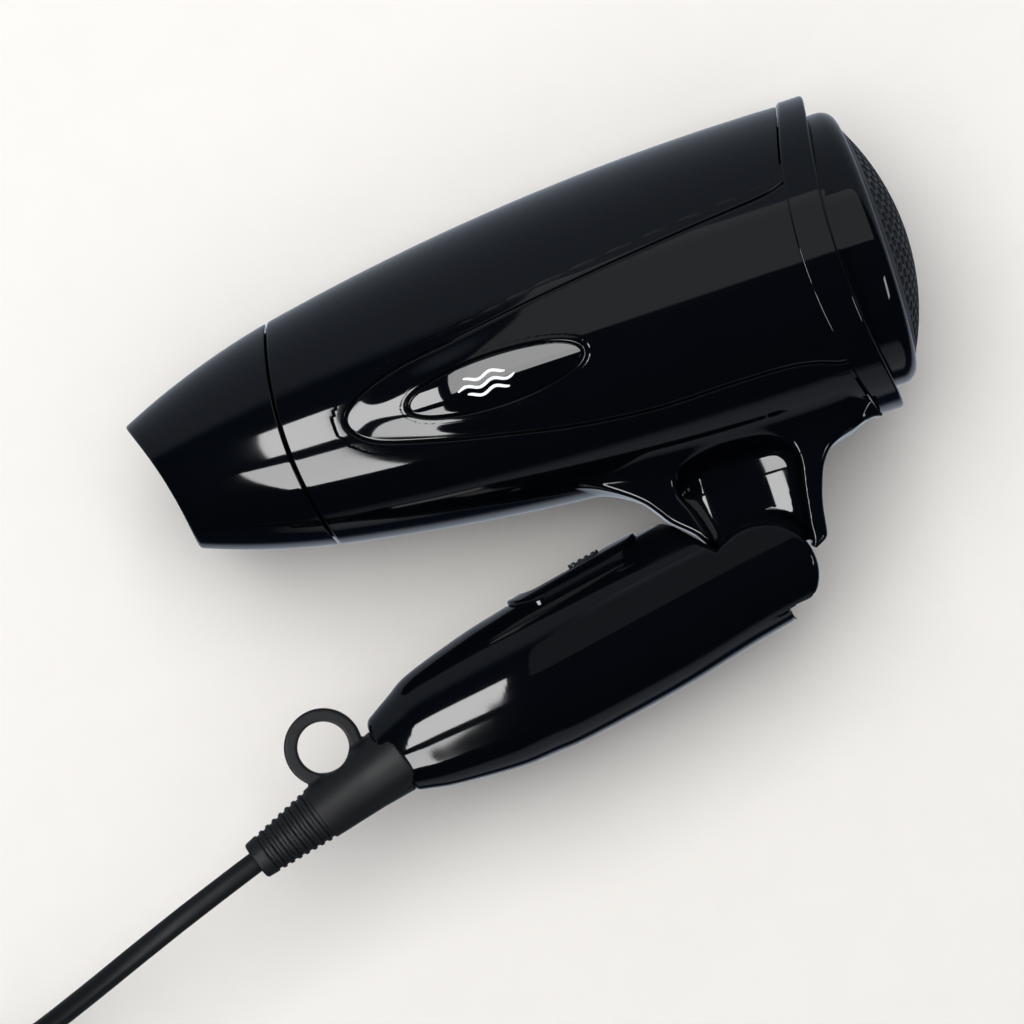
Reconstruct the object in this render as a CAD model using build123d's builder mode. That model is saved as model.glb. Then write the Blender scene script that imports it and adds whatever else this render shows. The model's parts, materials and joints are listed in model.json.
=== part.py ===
from build123d import *
from math import cos, radians, sin, sqrt, tan
import os

# A folding travel hair dryer, lying on its side with the handle folded under the barrel.
# SIDE is the plane of symmetry, level, at the height of the barrel axis. Its x runs along the
# barrel from the collar seam towards the outlet, its y from the barrel axis towards the handle.

os.makedirs("parts", exist_ok=True)

# ---- Driving dimensions, millimetres and degrees --------------------------------------------
AXIS_Z = 41.7          # barrel axis above the surface that the dryer lies on
FRAME_X = 83.19        # collar seam behind the middle of the dryer's length
FRAME_Y = 31.12        # barrel axis short of the middle of the dryer's width

BODY_R = 41.3          # largest barrel radius
BODY_APEX = 20.0       # where the barrel is widest, ahead of the collar seam
BODY_CURVE = 632.0     # radius of the barrel's long outline
NOZZLE_SEAM = 140.7    # nozzle joint, at the top and bottom of the barrel
NOZZLE_SWEEP = 4.2     # how far the joint bows forward at mid side
NOZZLE_MID = (163.0, 23.7)
NOZZLE_TIP = (184.0, 15.4)
WALL = 2.2             # barrel and handle wall
SEAM_GAP = 0.25        # visible groove at a joint between shells

COLLAR_R = 41.7
COLLAR_SWEEP = 9.0     # bow of the collar's front edge
COLLAR_BACK = -6.7
COLLAR_BACK_SWEEP = 6.3
CAP_R = 36.2           # rear cap, inside the collar
CAP_BACK = -12.4
DOME_R = 32.6          # inlet grille, rim radius
DOME_HEIGHT = 9.0
DOME_WALL = 1.6

CHEEK_ROOM = 0.6       # gap round the handle's end in the neck
LEAD_WAY_R = 3.2       # passage for the leads, from the pivot into the barrel
LEAD_WAY_TOP = 34.0

PANEL_DEPTH = 1.0      # side panel's seat in the barrel wall
PANEL_PROUD = 0.3
PANEL_GAP = 0.35
BADGE_AT = (90.3, 3.2)
BADGE_SIZE = (45.0, 12.0)
BADGE_PROUD = 0.3      # above the side panel

PIVOT = (41.6, 71.7)   # handle pivot on the SIDE plane
FOLD_ANGLE = 7.4       # handle against the barrel axis when folded
PIN_R = 5.0
PIN_BORE = 3.6
PIN_FIT = 0.06         # radial running clearance of the pin in the neck
PIN_HALF = 12.0        # half the pin's length
CHEEK_R = 14.3         # round end of the handle
TONGUE_R = 13.4        # round end of the neck, between the handle's cheeks
TONGUE_HALF = 9.0
SLOT_HALF = 9.4
NECK_HALF = 17.0

RELIEF_ROOT = (146.0, 86.2)
RELIEF_ANGLE = 18.3
RELIEF_LENGTH = 42.6
LOOP_AT = (161.1, 77.4)
LOOP_R = 9.9
LOOP_HOLE_R = 6.5
LOOP_HALF = 2.2
CORD_D = 5.6

# ---- Planes and axes ------------------------------------------------------------------------
SIDE = Plane(origin=(-FRAME_X, -FRAME_Y, AXIS_Z), x_dir=(1, 0, 0), z_dir=(0, 0, 1))
BARREL_AXIS = Axis(SIDE.origin, (1, 0, 0))


def across(ahead):
    """The plane square to the barrel axis, looking forward, this far ahead of the collar seam."""
    return Plane(origin=SIDE.origin + Vector(ahead, 0, 0), x_dir=(0, 1, 0), z_dir=(1, 0, 0))


HANDLE = Plane(
    origin=SIDE.from_local_coords((PIVOT[0], PIVOT[1], 0)),
    x_dir=(cos(radians(FOLD_ANGLE)), sin(radians(FOLD_ANGLE)), 0),
    z_dir=(0, 0, 1),
)
RELIEF = Plane(
    origin=SIDE.from_local_coords((RELIEF_ROOT[0], RELIEF_ROOT[1], 0)),
    x_dir=(cos(radians(RELIEF_ANGLE)), sin(radians(RELIEF_ANGLE)), 0),
    z_dir=(0, 0, 1),
)


def save(part, name):
    part.label = name
    export_step(part, f"parts/{name}.step")


# ---- Barrel outline -------------------------------------------------------------------------
def body_r(ahead):
    """Barrel radius behind the nozzle joint."""
    return BODY_R - BODY_CURVE + sqrt(BODY_CURVE ** 2 - (ahead - BODY_APEX) ** 2)


def bowed(chord, half, sweep, side):
    """A joint's place along the barrel: it bows forward by sweep between +half and -half."""
    curve = (half ** 2 + sweep ** 2) / (2 * sweep)
    return chord + sweep - (curve - sqrt(curve ** 2 - side ** 2))


REACH = 60.0           # joint regions are drawn wider than the barrel


def joint_arc(chord, half, sweep):
    edge = bowed(chord, half, sweep, REACH)
    return (edge, -REACH), (chord + sweep, 0), (edge, REACH)


COLLAR_FRONT = joint_arc(0.0, COLLAR_R, COLLAR_SWEEP)
NOZZLE_JOINT = joint_arc(NOZZLE_SEAM, body_r(NOZZLE_SEAM), NOZZLE_SWEEP)
COLLAR_REAR = joint_arc(COLLAR_BACK, COLLAR_R, COLLAR_BACK_SWEEP)


def shifted(arc, by):
    return tuple((x + by, y) for x, y in arc)


def between(rear, front):
    """A face on SIDE between two bowed joints, to be extruded through the barrel."""
    with BuildSketch(SIDE) as region:
        with BuildLine():
            ThreePointArc(*rear)
            ThreePointArc(*front)
            Line(rear[0], front[0])
            Line(rear[2], front[2])
        make_face()
    return region.sketch


def body_ring(rear, front, outside, inside):
    """A ring of the barrel's long shape: outside and inside are offsets from its outline."""
    middle = (rear + front) / 2
    with BuildSketch(SIDE) as ring:
        with BuildLine():
            ThreePointArc(
                (rear, body_r(rear) + outside),
                (middle, body_r(middle) + outside),
                (front, body_r(front) + outside),
            )
            Line((front, body_r(front) + outside), (front, body_r(front) + inside))
            ThreePointArc(
                (front, body_r(front) + inside),
                (middle, body_r(middle) + inside),
                (rear, body_r(rear) + inside),
            )
            Line((rear, body_r(rear) + inside), (rear, body_r(rear) + outside))
        make_face()
    return ring.sketch


# ---- Side panels and badges -----------------------------------------------------------------
def teardrop_face(gap):
    """The side panel's outline on SIDE, moved out by gap."""
    with BuildSketch(SIDE) as teardrop:
        with BuildLine():
            ThreePointArc((-4.0, -20.9 - gap), (54.0, -14.8 - gap), (112.0, -7.2 - gap))
            Spline(
                (112.0, -7.2 - gap), (124.0 + gap, -3.2 - gap), (128.7 + gap, 1.8),
                (124.0 + gap, 7.8 + gap), (110.0, 12.4 + gap), tangents=[(1, 0.16), (-1, 0.23)],
            )
            ThreePointArc((110.0, 12.4 + gap), (54.0, 22.6 + gap), (-4.0, 27.9 + gap))
            Line((-4.0, 27.9 + gap), (-4.0, -20.9 - gap))
        make_face()
    return teardrop.sketch


PANEL_FACE = teardrop_face(0.0)
PANEL_SEAT = teardrop_face(PANEL_GAP)

BADGE_GAP = 0.2
BADGE = Plane(
    origin=SIDE.from_local_coords((BADGE_AT[0], BADGE_AT[1], 0)),
    x_dir=(1, 0, 0),
    z_dir=(0, 0, 1),
)

with BuildSketch(BADGE) as badge_seat:
    Ellipse(BADGE_SIZE[0] / 2 + BADGE_GAP, BADGE_SIZE[1] / 2 + BADGE_GAP)

with BuildSketch(BADGE) as badge_face:
    Ellipse(BADGE_SIZE[0] / 2, BADGE_SIZE[1] / 2)


BODY_SPAN = between(shifted(COLLAR_FRONT, SEAM_GAP), shifted(NOZZLE_JOINT, -SEAM_GAP))
PANEL_SKIN = body_ring(-4.0, 135.0, PANEL_PROUD, -PANEL_DEPTH)
BADGE_SKIN = body_ring(60.0, 120.0, PANEL_PROUD + BADGE_PROUD, -PANEL_DEPTH)


def make_panel(name, direction):
    with BuildPart() as panel:
        revolve(PANEL_SKIN, axis=BARREL_AXIS)
        extrude(PANEL_FACE, amount=direction * REACH, mode=Mode.INTERSECT)
        extrude(BODY_SPAN, amount=REACH, both=True, mode=Mode.INTERSECT)
        extrude(badge_seat.sketch, amount=direction * REACH, mode=Mode.SUBTRACT)
    save(panel.part, name)


def make_badge(name, direction):
    with BuildPart() as badge:
        revolve(BADGE_SKIN, axis=BARREL_AXIS)
        extrude(badge_face.sketch, amount=direction * REACH, mode=Mode.INTERSECT)
    save(badge.part, name)


make_panel("side_panel_near", 1)
make_panel("side_panel_far", -1)
make_badge("badge_near", 1)
make_badge("badge_far", -1)

# ---- Barrel shell with its neck -------------------------------------------------------------
with BuildSketch(SIDE) as neck_outline:
    with BuildLine():
        Line((6.0, 30.0), (6.0, 40.6))
        Spline((6.0, 40.6), (13.4, 44.4), (19.2, 52.9), (22.0, 61.0), (22.7, 66.5))
        Polyline((22.7, 66.5), (26.7, 68.1), PIVOT, (50.4, 60.6), (59.6, 50.6))
        Spline((59.6, 50.6), (61.6, 47.8), (66.2, 44.6), (73.0, 42.4), (90.0, 37.0))
        Polyline((90.0, 37.0), (90.0, 30.0), (6.0, 30.0))
    make_face()

with BuildSketch(SIDE) as pocket_outline:
    with BuildLine():
        Line(PIVOT, (51.2, 61.8))
        Spline((51.2, 61.8), (53.3, 50.1), (56.9, 41.6), (51.0, 36.2), (40.0, 35.2), (29.0, 37.2),
               (23.6, 43.4), (25.2, 53.5), (27.0, 66.0))
        Line((27.0, 66.0), PIVOT)
    make_face()

TONGUE_LINK = [(29.4, 36.0), (53.6, 36.0), (50.3, 59.5), (48.8, 73.0), (33.0, 73.0), (28.4, 66.0)]


def disc_at_pivot(radius, half):
    """A disc about the handle pivot, half thick each side of the plane of symmetry."""
    with BuildPart() as disc:
        with BuildSketch(HANDLE):
            Circle(radius)
        extrude(amount=half, both=True)
    return disc.part


with BuildSketch(SIDE) as tongue_link:
    with BuildLine():
        Polyline(*TONGUE_LINK, close=True)
    make_face()

cheek_room = disc_at_pivot(CHEEK_R + CHEEK_ROOM, REACH)
tongue_end = disc_at_pivot(TONGUE_R, TONGUE_HALF)
pin_way = disc_at_pivot(PIN_R + PIN_FIT, REACH)

with BuildPart() as neck:
    extrude(neck_outline.sketch, amount=NECK_HALF, both=True)
    extrude(pocket_outline.sketch, amount=REACH, both=True, mode=Mode.SUBTRACT)
    add(cheek_room, mode=Mode.SUBTRACT)
    extrude(tongue_link.sketch, amount=TONGUE_HALF, both=True)
    add(tongue_end)


def body_core(outside):
    """The solid of the barrel's long shape, its outline moved out by outside."""
    rear, middle, front = -15.0, 70.0, 155.0
    with BuildPart() as core:
        with BuildSketch(SIDE):
            with BuildLine():
                ThreePointArc(*((x, body_r(x) + outside) for x in (rear, middle, front)))
                Polyline(
                    (front, body_r(front) + outside), (front, 0), (rear, 0), (rear, body_r(rear) + outside),
                )
            make_face()
        revolve(axis=BARREL_AXIS)
    return core.part


def panel_room(direction):
    """The room that a side panel and its clearance take in the barrel wall."""
    with BuildPart() as room:
        revolve(SEAT_SKIN, axis=BARREL_AXIS)
        extrude(PANEL_SEAT, amount=direction * REACH, mode=Mode.INTERSECT)
    return room.part


SEAT_SKIN = body_ring(-6.0, 140.0, 3.0, -PANEL_DEPTH)
body_solid = body_core(0.0)
body_hollow = body_core(-WALL)
near_room = panel_room(1)
far_room = panel_room(-1)
with BuildSketch(Plane(origin=HANDLE.origin, x_dir=(1, 0, 0), z_dir=(0, -1, 0))) as lead_way:
    Circle(LEAD_WAY_R)

with BuildPart() as barrel_shell:
    add(body_solid)
    extrude(BODY_SPAN, amount=REACH, both=True, mode=Mode.INTERSECT)
    add(neck.part)
    add(body_hollow, mode=Mode.SUBTRACT)
    add(near_room, mode=Mode.SUBTRACT)
    add(far_room, mode=Mode.SUBTRACT)
    add(pin_way, mode=Mode.SUBTRACT)
    extrude(lead_way.sketch, amount=PIVOT[1] - LEAD_WAY_TOP, mode=Mode.SUBTRACT)
save(barrel_shell.part, "barrel_shell")

# ---- Nozzle ---------------------------------------------------------------------------------
MOUTH_TOP = (183.1, -15.6)
MOUTH_MID = (177.0, 1.4)
MOUTH_BOTTOM = (174.8, 16.7)
SPIGOT_LENGTH = 9.0


def nozzle_core(inset):
    """The solid inside the nozzle's outline, moved in by inset."""
    seam_r = body_r(NOZZLE_SEAM)
    start = NOZZLE_SEAM - 12.0
    with BuildPart() as core:
        with BuildSketch(SIDE):
            with BuildLine():
                Line((start, body_r(start) - inset), (NOZZLE_SEAM, seam_r - inset))
                ThreePointArc(
                    (NOZZLE_SEAM, seam_r - inset),
                    (NOZZLE_MID[0], NOZZLE_MID[1] - inset),
                    (NOZZLE_TIP[0], NOZZLE_TIP[1] - inset),
                )
                Polyline(
                    (NOZZLE_TIP[0], NOZZLE_TIP[1] - inset), (NOZZLE_TIP[0], 0),
                    (start, 0), (start, body_r(start) - inset),
                )
            make_face()
        revolve(axis=BARREL_AXIS)
    return core.part


with BuildSketch(SIDE) as nozzle_side:
    with BuildLine():
        ThreePointArc(*shifted(NOZZLE_JOINT, SEAM_GAP))
        Polyline((NOZZLE_JOINT[0][0] + SEAM_GAP, -REACH), (194.5, -REACH), MOUTH_TOP)
        ThreePointArc(MOUTH_TOP, MOUTH_MID, MOUTH_BOTTOM)
        Polyline(MOUTH_BOTTOM, (164.0, REACH), (NOZZLE_JOINT[2][0] + SEAM_GAP, REACH))
    make_face()

SPIGOT = body_ring(NOZZLE_SEAM - SPIGOT_LENGTH, NOZZLE_SEAM + 8.0, -WALL - 0.1, -WALL - 1.4)
nozzle_solid = nozzle_core(0.0)
nozzle_hollow = nozzle_core(WALL)

with BuildPart() as nozzle_outside:
    add(nozzle_solid)
    extrude(nozzle_side.sketch, amount=REACH, both=True, mode=Mode.INTERSECT)
    add(nozzle_hollow, mode=Mode.SUBTRACT)

with BuildPart() as nozzle_shell:
    revolve(SPIGOT, axis=BARREL_AXIS)
    add(nozzle_outside.part)
save(nozzle_shell.part, "nozzle_shell")

GRILLE_AT = 161.0
GRILLE_DEPTH = 3.0
GRILLE_R = 21.0
GRILLE_BAR = 1.2
GRILLE_RINGS = (7.0, 14.0, GRILLE_R)
with BuildPart() as outlet_grille:
    with BuildSketch(across(GRILLE_AT)):
        for radius in GRILLE_RINGS:
            Circle(radius)
            Circle(radius - GRILLE_BAR, mode=Mode.SUBTRACT)
        with PolarLocations(0, 8):
            with Locations(((GRILLE_R + GRILLE_RINGS[0]) / 2 - GRILLE_BAR / 2, 0)):
                Rectangle(GRILLE_R - GRILLE_RINGS[0], GRILLE_BAR)
    extrude(amount=GRILLE_DEPTH)
save(outlet_grille.part, "outlet_grille")

# ---- Collar, rear cap and inlet grille ------------------------------------------------------
def ring_part(name, points):
    """A closed outline of (ahead, radius) points turned about the barrel axis."""
    with BuildPart() as ring:
        with BuildSketch(SIDE):
            with BuildLine():
                Polyline(*points, close=True)
            make_face()
        revolve(axis=BARREL_AXIS)
    save(ring.part, name)


COLLAR_SPAN = between(COLLAR_REAR, COLLAR_FRONT)
COLLAR_BORE = CAP_R + 0.2
SPIGOT_R = BODY_R - WALL - 0.4
with BuildPart() as rear_collar:
    with BuildSketch(SIDE):
        with BuildLine():
            Polyline((-8.0, COLLAR_BORE), (14.0, COLLAR_BORE), (14.0, COLLAR_R), (-8.0, COLLAR_R), close=True)
        make_face()
    revolve(axis=BARREL_AXIS)
    extrude(COLLAR_SPAN, amount=REACH, both=True, mode=Mode.INTERSECT)
    with BuildSketch(SIDE):
        with BuildLine():
            Polyline((2.0, COLLAR_BORE), (18.0, COLLAR_BORE), (18.0, SPIGOT_R), (2.0, SPIGOT_R), close=True)
        make_face()
    revolve(axis=BARREL_AXIS)
save(rear_collar.part, "rear_collar")

with BuildPart() as rear_cap:
    with BuildSketch(SIDE):
        with BuildLine():
            Line((6.0, CAP_R), (-7.7, CAP_R))
            ThreePointArc((-7.7, CAP_R), (-11.2, 35.1), (-12.6, 32.9))
            Polyline(
                (-12.6, 32.9), (-10.7, 32.9), (-10.7, 31.4), (-9.2, 31.4), (-9.2, 34.0), (6.0, 34.0),
                (6.0, CAP_R),
            )
        make_face()
    revolve(axis=BARREL_AXIS)
save(rear_cap.part, "rear_cap")

CELL_R = 2.2
CELL_PITCH = 6.0
CELL_RINGS = 4
with BuildPart() as inlet_grille:
    with BuildSketch(SIDE):
        with BuildLine():
            rim = CAP_BACK
            peak = CAP_BACK - DOME_HEIGHT
            half_r = DOME_R * 0.7
            half_x = rim - DOME_HEIGHT * (1 - 0.7 ** 2)
            ThreePointArc((rim, DOME_R), (half_x, half_r), (peak, 0))
            Line((peak, 0), (peak + DOME_WALL, 0))
            ThreePointArc((peak + DOME_WALL, 0), (half_x + DOME_WALL, half_r), (rim + DOME_WALL, DOME_R))
            Line((rim + DOME_WALL, DOME_R), (rim, DOME_R))
        make_face()
    revolve(axis=BARREL_AXIS)
    with BuildSketch(across(-30.0)):
        Circle(CELL_R)
        for ring in range(1, CELL_RINGS + 1):
            with PolarLocations(ring * CELL_PITCH, 6 * ring):
                Circle(CELL_R)
    extrude(amount=25.0, mode=Mode.SUBTRACT)
save(inlet_grille.part, "inlet_grille")

ring_part("inlet_screen", [(-8.9, 0), (-8.4, 0), (-8.4, 33.8), (-8.9, 33.8)])

# ---- Motor, fan and duct --------------------------------------------------------------------
DUCT_R = 33.4          # outside of the fan duct
DUCT_BORE = 32.2
DUCT_FLANGE_R = 34.8
FAN_R = 31.5
HUB_R = 14.6
SHAFT_R = 1.15
MOTOR_R = 13.9
MOTOR_CUP_R = 15.4
VANES = 9
VANE_THICK = 1.2
BLADES = 7
DUCT_LENGTH = 58.0
FLANGE_AT = 54.0
FLANGE_THICK = 2.0
CUP_BACK = 26.0
CUP_LENGTH = 26.0
MOTOR_BACK = 22.0
MOTOR_FRONT = 54.0

with BuildPart() as motor_mount:
    with BuildSketch(across(0.0)):
        Circle(DUCT_R)
        Circle(DUCT_BORE, mode=Mode.SUBTRACT)
    extrude(amount=DUCT_LENGTH)
    with BuildSketch(across(CUP_BACK)):
        Circle(MOTOR_CUP_R)
        Circle(MOTOR_R + 0.1, mode=Mode.SUBTRACT)
        with PolarLocations(0, VANES):
            with Locations(((MOTOR_CUP_R + DUCT_BORE) / 2, 0)):
                Rectangle(DUCT_BORE - MOTOR_CUP_R + 0.8, VANE_THICK)
    extrude(amount=CUP_LENGTH)
    with BuildSketch(across(FLANGE_AT)):
        Circle(DUCT_FLANGE_R)
        Circle(DUCT_BORE, mode=Mode.SUBTRACT)
    extrude(amount=FLANGE_THICK)
save(motor_mount.part, "motor_mount")

with BuildPart() as motor_can:
    with BuildSketch(across(MOTOR_BACK)):
        Circle(MOTOR_R)
    extrude(amount=MOTOR_FRONT - MOTOR_BACK)
    fillet(motor_can.edges().filter_by(GeomType.CIRCLE), 1.0)
    with BuildSketch(across(MOTOR_BACK - 2.0)):
        Circle(3.5)
    extrude(amount=3.0)
    with BuildSketch(across(0.0)):
        Circle(SHAFT_R + PIN_FIT)
    extrude(amount=60.0, mode=Mode.SUBTRACT)
save(motor_can.part, "motor_can")

with BuildPart() as motor_shaft:
    with BuildSketch(across(4.0)):
        Circle(SHAFT_R)
    extrude(amount=51.5)
    chamfer(motor_shaft.edges().filter_by(GeomType.CIRCLE), 0.3)
save(motor_shaft.part, "motor_shaft")

FAN_BACK = 5.0
FAN_DEPTH = 12.0
BLADE_TWIST_ROOT = 38.0
BLADE_TWIST_TIP = 58.0
BLADE_CHORD = 13.0
BLADE_THICK = 1.4
with BuildPart() as fan_blades:
    for k in range(BLADES):
        turn = 360.0 / BLADES * k
        out = Vector(0, cos(radians(turn)), sin(radians(turn)))
        side = Vector(0, -sin(radians(turn)), cos(radians(turn)))
        middle = SIDE.origin + Vector(FAN_BACK + FAN_DEPTH / 2, 0, 0)
        for radius, twist in ((HUB_R - 1.5, BLADE_TWIST_ROOT), (FAN_R + 1.0, BLADE_TWIST_TIP)):
            chord = Vector(1, 0, 0) * cos(radians(twist)) + side * sin(radians(twist))
            with BuildSketch(Plane(origin=middle + out * radius, x_dir=chord, z_dir=out)):
                Rectangle(BLADE_CHORD, BLADE_THICK)
        loft()
with BuildPart() as fan_rotor:
    add(fan_blades.part)
    with BuildSketch(across(FAN_BACK - 5.0)):
        Circle(FAN_R)
    extrude(amount=FAN_DEPTH + 10.0, mode=Mode.INTERSECT)
    with BuildSketch(across(FAN_BACK)):
        Circle(HUB_R)
    extrude(amount=FAN_DEPTH)
    with BuildSketch(across(FAN_BACK - 10.0)):
        Circle(SHAFT_R)
    extrude(amount=FAN_DEPTH + 20.0, mode=Mode.SUBTRACT)
save(fan_rotor.part, "fan_rotor")

with BuildPart() as rectifier_board:
    with BuildSketch(across(MOTOR_FRONT + 2.0)):
        Circle(12.5)
        Circle(2.5, mode=Mode.SUBTRACT)
    extrude(amount=1.6)
    with BuildSketch(across(MOTOR_FRONT + 3.5)):
        with GridLocations(11.0, 5.0, 2, 2):
            Rectangle(5.2, 2.7)
    extrude(amount=2.8)
save(rectifier_board.part, "rectifier_board")

# ---- Heater ---------------------------------------------------------------------------------
HEATER_BACK = 64.0
HEATER_FRONT = 130.0
SLEEVE_R = 28.0
COIL_R = 25.2
COIL_WIRE_R = 0.5
COIL_TURNS = 9
MICA_THICK = 0.8
with BuildPart() as mica_cross:
    for start, depth, span in ((HEATER_BACK, 2.5, SLEEVE_R - 0.6), (HEATER_BACK + 2.5, 61.0, COIL_R - 0.7),
                               (HEATER_FRONT - 2.5, 2.5, SLEEVE_R - 0.6)):
        with BuildSketch(across(start)):
            Rectangle(2 * span, MICA_THICK)
            Rectangle(MICA_THICK, 2 * span)
        extrude(amount=depth)
save(mica_cross.part, "mica_cross")

SLEEVE_BORE = SLEEVE_R - 0.5
SLEEVE_SPAN = (62.0, 131.0)
ring_part("mica_sleeve", [
    (SLEEVE_SPAN[0], SLEEVE_BORE), (SLEEVE_SPAN[1], SLEEVE_BORE),
    (SLEEVE_SPAN[1], SLEEVE_R), (SLEEVE_SPAN[0], SLEEVE_R),
])

with BuildPart() as heater_coil:
    for k in range(COIL_TURNS):
        with BuildSketch(SIDE):
            with Locations((HEATER_BACK + 5.0 + 7.0 * k, COIL_R)):
                Circle(COIL_WIRE_R)
        revolve(axis=BARREL_AXIS)
save(heater_coil.part, "heater_coil")

with BuildPart() as thermostat:
    with BuildSketch(across(98.0)):
        with Locations((10.0, 4.0)):
            Rectangle(7.0, 5.0)
    extrude(amount=16.0)
save(thermostat.part, "thermostat")

with BuildPart() as thermal_fuse:
    with BuildSketch(across(100.0)):
        with Locations((-10.0, -4.0)):
            Circle(2.0)
    extrude(amount=11.0)
save(thermal_fuse.part, "thermal_fuse")


def lead(name, plane, routes, bend, radius):
    """Insulated wires: each route is a list of points on plane, its corners rounded by bend."""
    wires = []
    for points in routes:
        with BuildPart() as wire:
            with BuildLine(plane) as path:
                FilletPolyline(*points, radius=bend)
            with BuildSketch(Plane(origin=path.line @ 0, z_dir=path.line % 0)):
                Circle(radius)
            sweep()
        wires.append(wire.part)
    with BuildPart() as leads:
        for wire in wires:
            add(wire)
    save(leads.part, name)


LEAD_R = 1.1
lead("barrel_leads", SIDE,
     [[(41.6, 58.0, w), (41.6, 36.2, w), (60.9, 36.2, w), (60.9, 16.0, w)] for w in (-1.5, 1.5)], 2.5, LEAD_R)

# ---- Handle ---------------------------------------------------------------------------------
# Places along the handle from the pivot, the outline on the far and the barrel side, half depth.
HANDLE_SECTIONS = (
    (-18.0, 12.6, -23.4, 16.4),
    (5.0, 13.9, -23.8, 17.0),
    (30.0, 16.4, -23.6, 17.2),
    (56.0, 17.6, -22.2, 17.0),
    (76.0, 16.6, -20.2, 15.6),
    (92.0, 13.6, -17.2, 13.2),
    (107.5, 8.8, -10.4, 9.6),
)


def handle_core(inset, stations=HANDLE_SECTIONS):
    """The handle's solid, moved in by inset, through ellipses square to its length."""
    with BuildPart() as core:
        for along, outer, inner, half in stations:
            centre = HANDLE.from_local_coords((along, (outer + inner) / 2, 0))
            with BuildSketch(Plane(origin=centre, x_dir=HANDLE.y_dir, z_dir=HANDLE.x_dir)):
                Ellipse((outer - inner) / 2 - inset, half - inset)
        loft()
    return core.part


with BuildSketch(HANDLE) as handle_outline:
    with BuildLine():
        ThreePointArc((7.7, -11.9), (-CHEEK_R + 0.1, -0.6), (1.0, 14.1))
        Polyline((1.0, 14.1), (1.0, 40.0), (100.0, 40.0), (102.9, 9.4))
        ThreePointArc((102.9, 9.4), (106.2, -0.5), (106.8, -10.6))
        Polyline((106.8, -10.6), (106.8, -40.0), (26.0, -40.0), (15.5, -23.0), (7.7, -11.9))
    make_face()

with BuildSketch(HANDLE) as hollow_outline:
    with BuildLine():
        Polyline((18.5, -30.0), (18.5, 30.0), (103.4, 30.0), (103.4, -30.0), close=True)
    make_face()

# The switch plate: a long oval on the handle's barrel side. SLIDE lies on the handle's surface
# there, its x along the knob's travel and its z into the handle.
SLIDE_ANGLE = 3.1      # knob's travel against the handle's length
SLIDE_X = HANDLE.x_dir * cos(radians(SLIDE_ANGLE)) + HANDLE.y_dir * sin(radians(SLIDE_ANGLE))
SLIDE_IN = HANDLE.y_dir * cos(radians(SLIDE_ANGLE)) - HANDLE.x_dir * sin(radians(SLIDE_ANGLE))
SLIDE = Plane(origin=HANDLE.from_local_coords((42.7, -23.0, 0)), x_dir=SLIDE_X, z_dir=SLIDE_IN)
PLATE_OUT = 15.0       # its outlines are drawn this far outside the handle
PLATE = SLIDE.offset(-PLATE_OUT)
PLATE_SIZE = (37.0, 19.0)
PLATE_PROUD = 0.9
PLATE_THICK = 2.4
PLATE_REACH = 30.0
TRAY_AT = (2.1, 0)
TRAY_SIZE = (24.0, 8.6)
TRAY_FLOOR = 0.1       # tray's floor below the handle's surface
STEM_WAY = (17.2, 3.0)
KNOB_AT = -3.9         # slide knob along SLIDE, switched off
KNOB_TRAVEL = 12.0

with BuildSketch(PLATE) as plate_window:
    SlotOverall(PLATE_SIZE[0] + 2 * SEAM_GAP, PLATE_SIZE[1] + 2 * SEAM_GAP)

with BuildSketch(PLATE) as plate_face:
    SlotOverall(*PLATE_SIZE)

with BuildSketch(PLATE) as tray_face:
    with Locations(TRAY_AT):
        SlotOverall(*TRAY_SIZE)

with BuildSketch(PLATE) as stem_way:
    with Locations(TRAY_AT):
        Rectangle(*STEM_WAY)

handle_solid = handle_core(0.0)
handle_hollow_core = handle_core(WALL)
handle_skin = handle_core(-PLATE_PROUD)
handle_under = handle_core(PLATE_THICK - PLATE_PROUD)
slot_room = disc_at_pivot(CHEEK_R + CHEEK_ROOM, SLOT_HALF)
pin_seat = disc_at_pivot(PIN_R, PIN_HALF)

with BuildPart() as handle_hollow:
    add(handle_hollow_core)
    extrude(hollow_outline.sketch, amount=REACH, both=True, mode=Mode.INTERSECT)

# ---- Strain relief with the hanging loop ----------------------------------------------------
RELIEF_TURN = Axis(RELIEF.origin, RELIEF.x_dir)
RELIEF_ROOT_R = 9.2
RELIEF_MID = (22.0, 7.4)
RELIEF_END_R = 5.0
RIBS = 7
RIB_PITCH = 2.75
RIB_WIDTH = 1.7
RIB_DEPTH = 1.1
NECK_GROOVE_R = 7.2    # the relief's groove, held by the handle's nose
RELIEF_TAIL = -9.0
CORD_HELD = 12.0       # the moulded end that the cord fills

with BuildSketch(RELIEF) as relief_outline:
    with BuildLine():
        Polyline(
            (RELIEF_TAIL, 0), (RELIEF_TAIL, 8.2), (-4.6, 8.2), (-4.6, NECK_GROOVE_R), (1.8, NECK_GROOVE_R),
            (1.8, RELIEF_ROOT_R), (8.0, 8.9), RELIEF_MID, (RELIEF_LENGTH - 1.2, RELIEF_END_R),
            (RELIEF_LENGTH, RELIEF_END_R - 1.0), (RELIEF_LENGTH, 0), close=True,
        )
    make_face()

with BuildSketch(RELIEF) as rib_grooves:
    slope = (RELIEF_END_R - RELIEF_MID[1]) / (RELIEF_LENGTH - RELIEF_MID[0])
    for k in range(RIBS):
        place = RELIEF_MID[0] + RIB_PITCH * (k + 0.35)
        with Locations((place, RELIEF_MID[1] + slope * (place - RELIEF_MID[0]))):
            Rectangle(RIB_PITCH - RIB_WIDTH, 2 * RIB_DEPTH)

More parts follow.
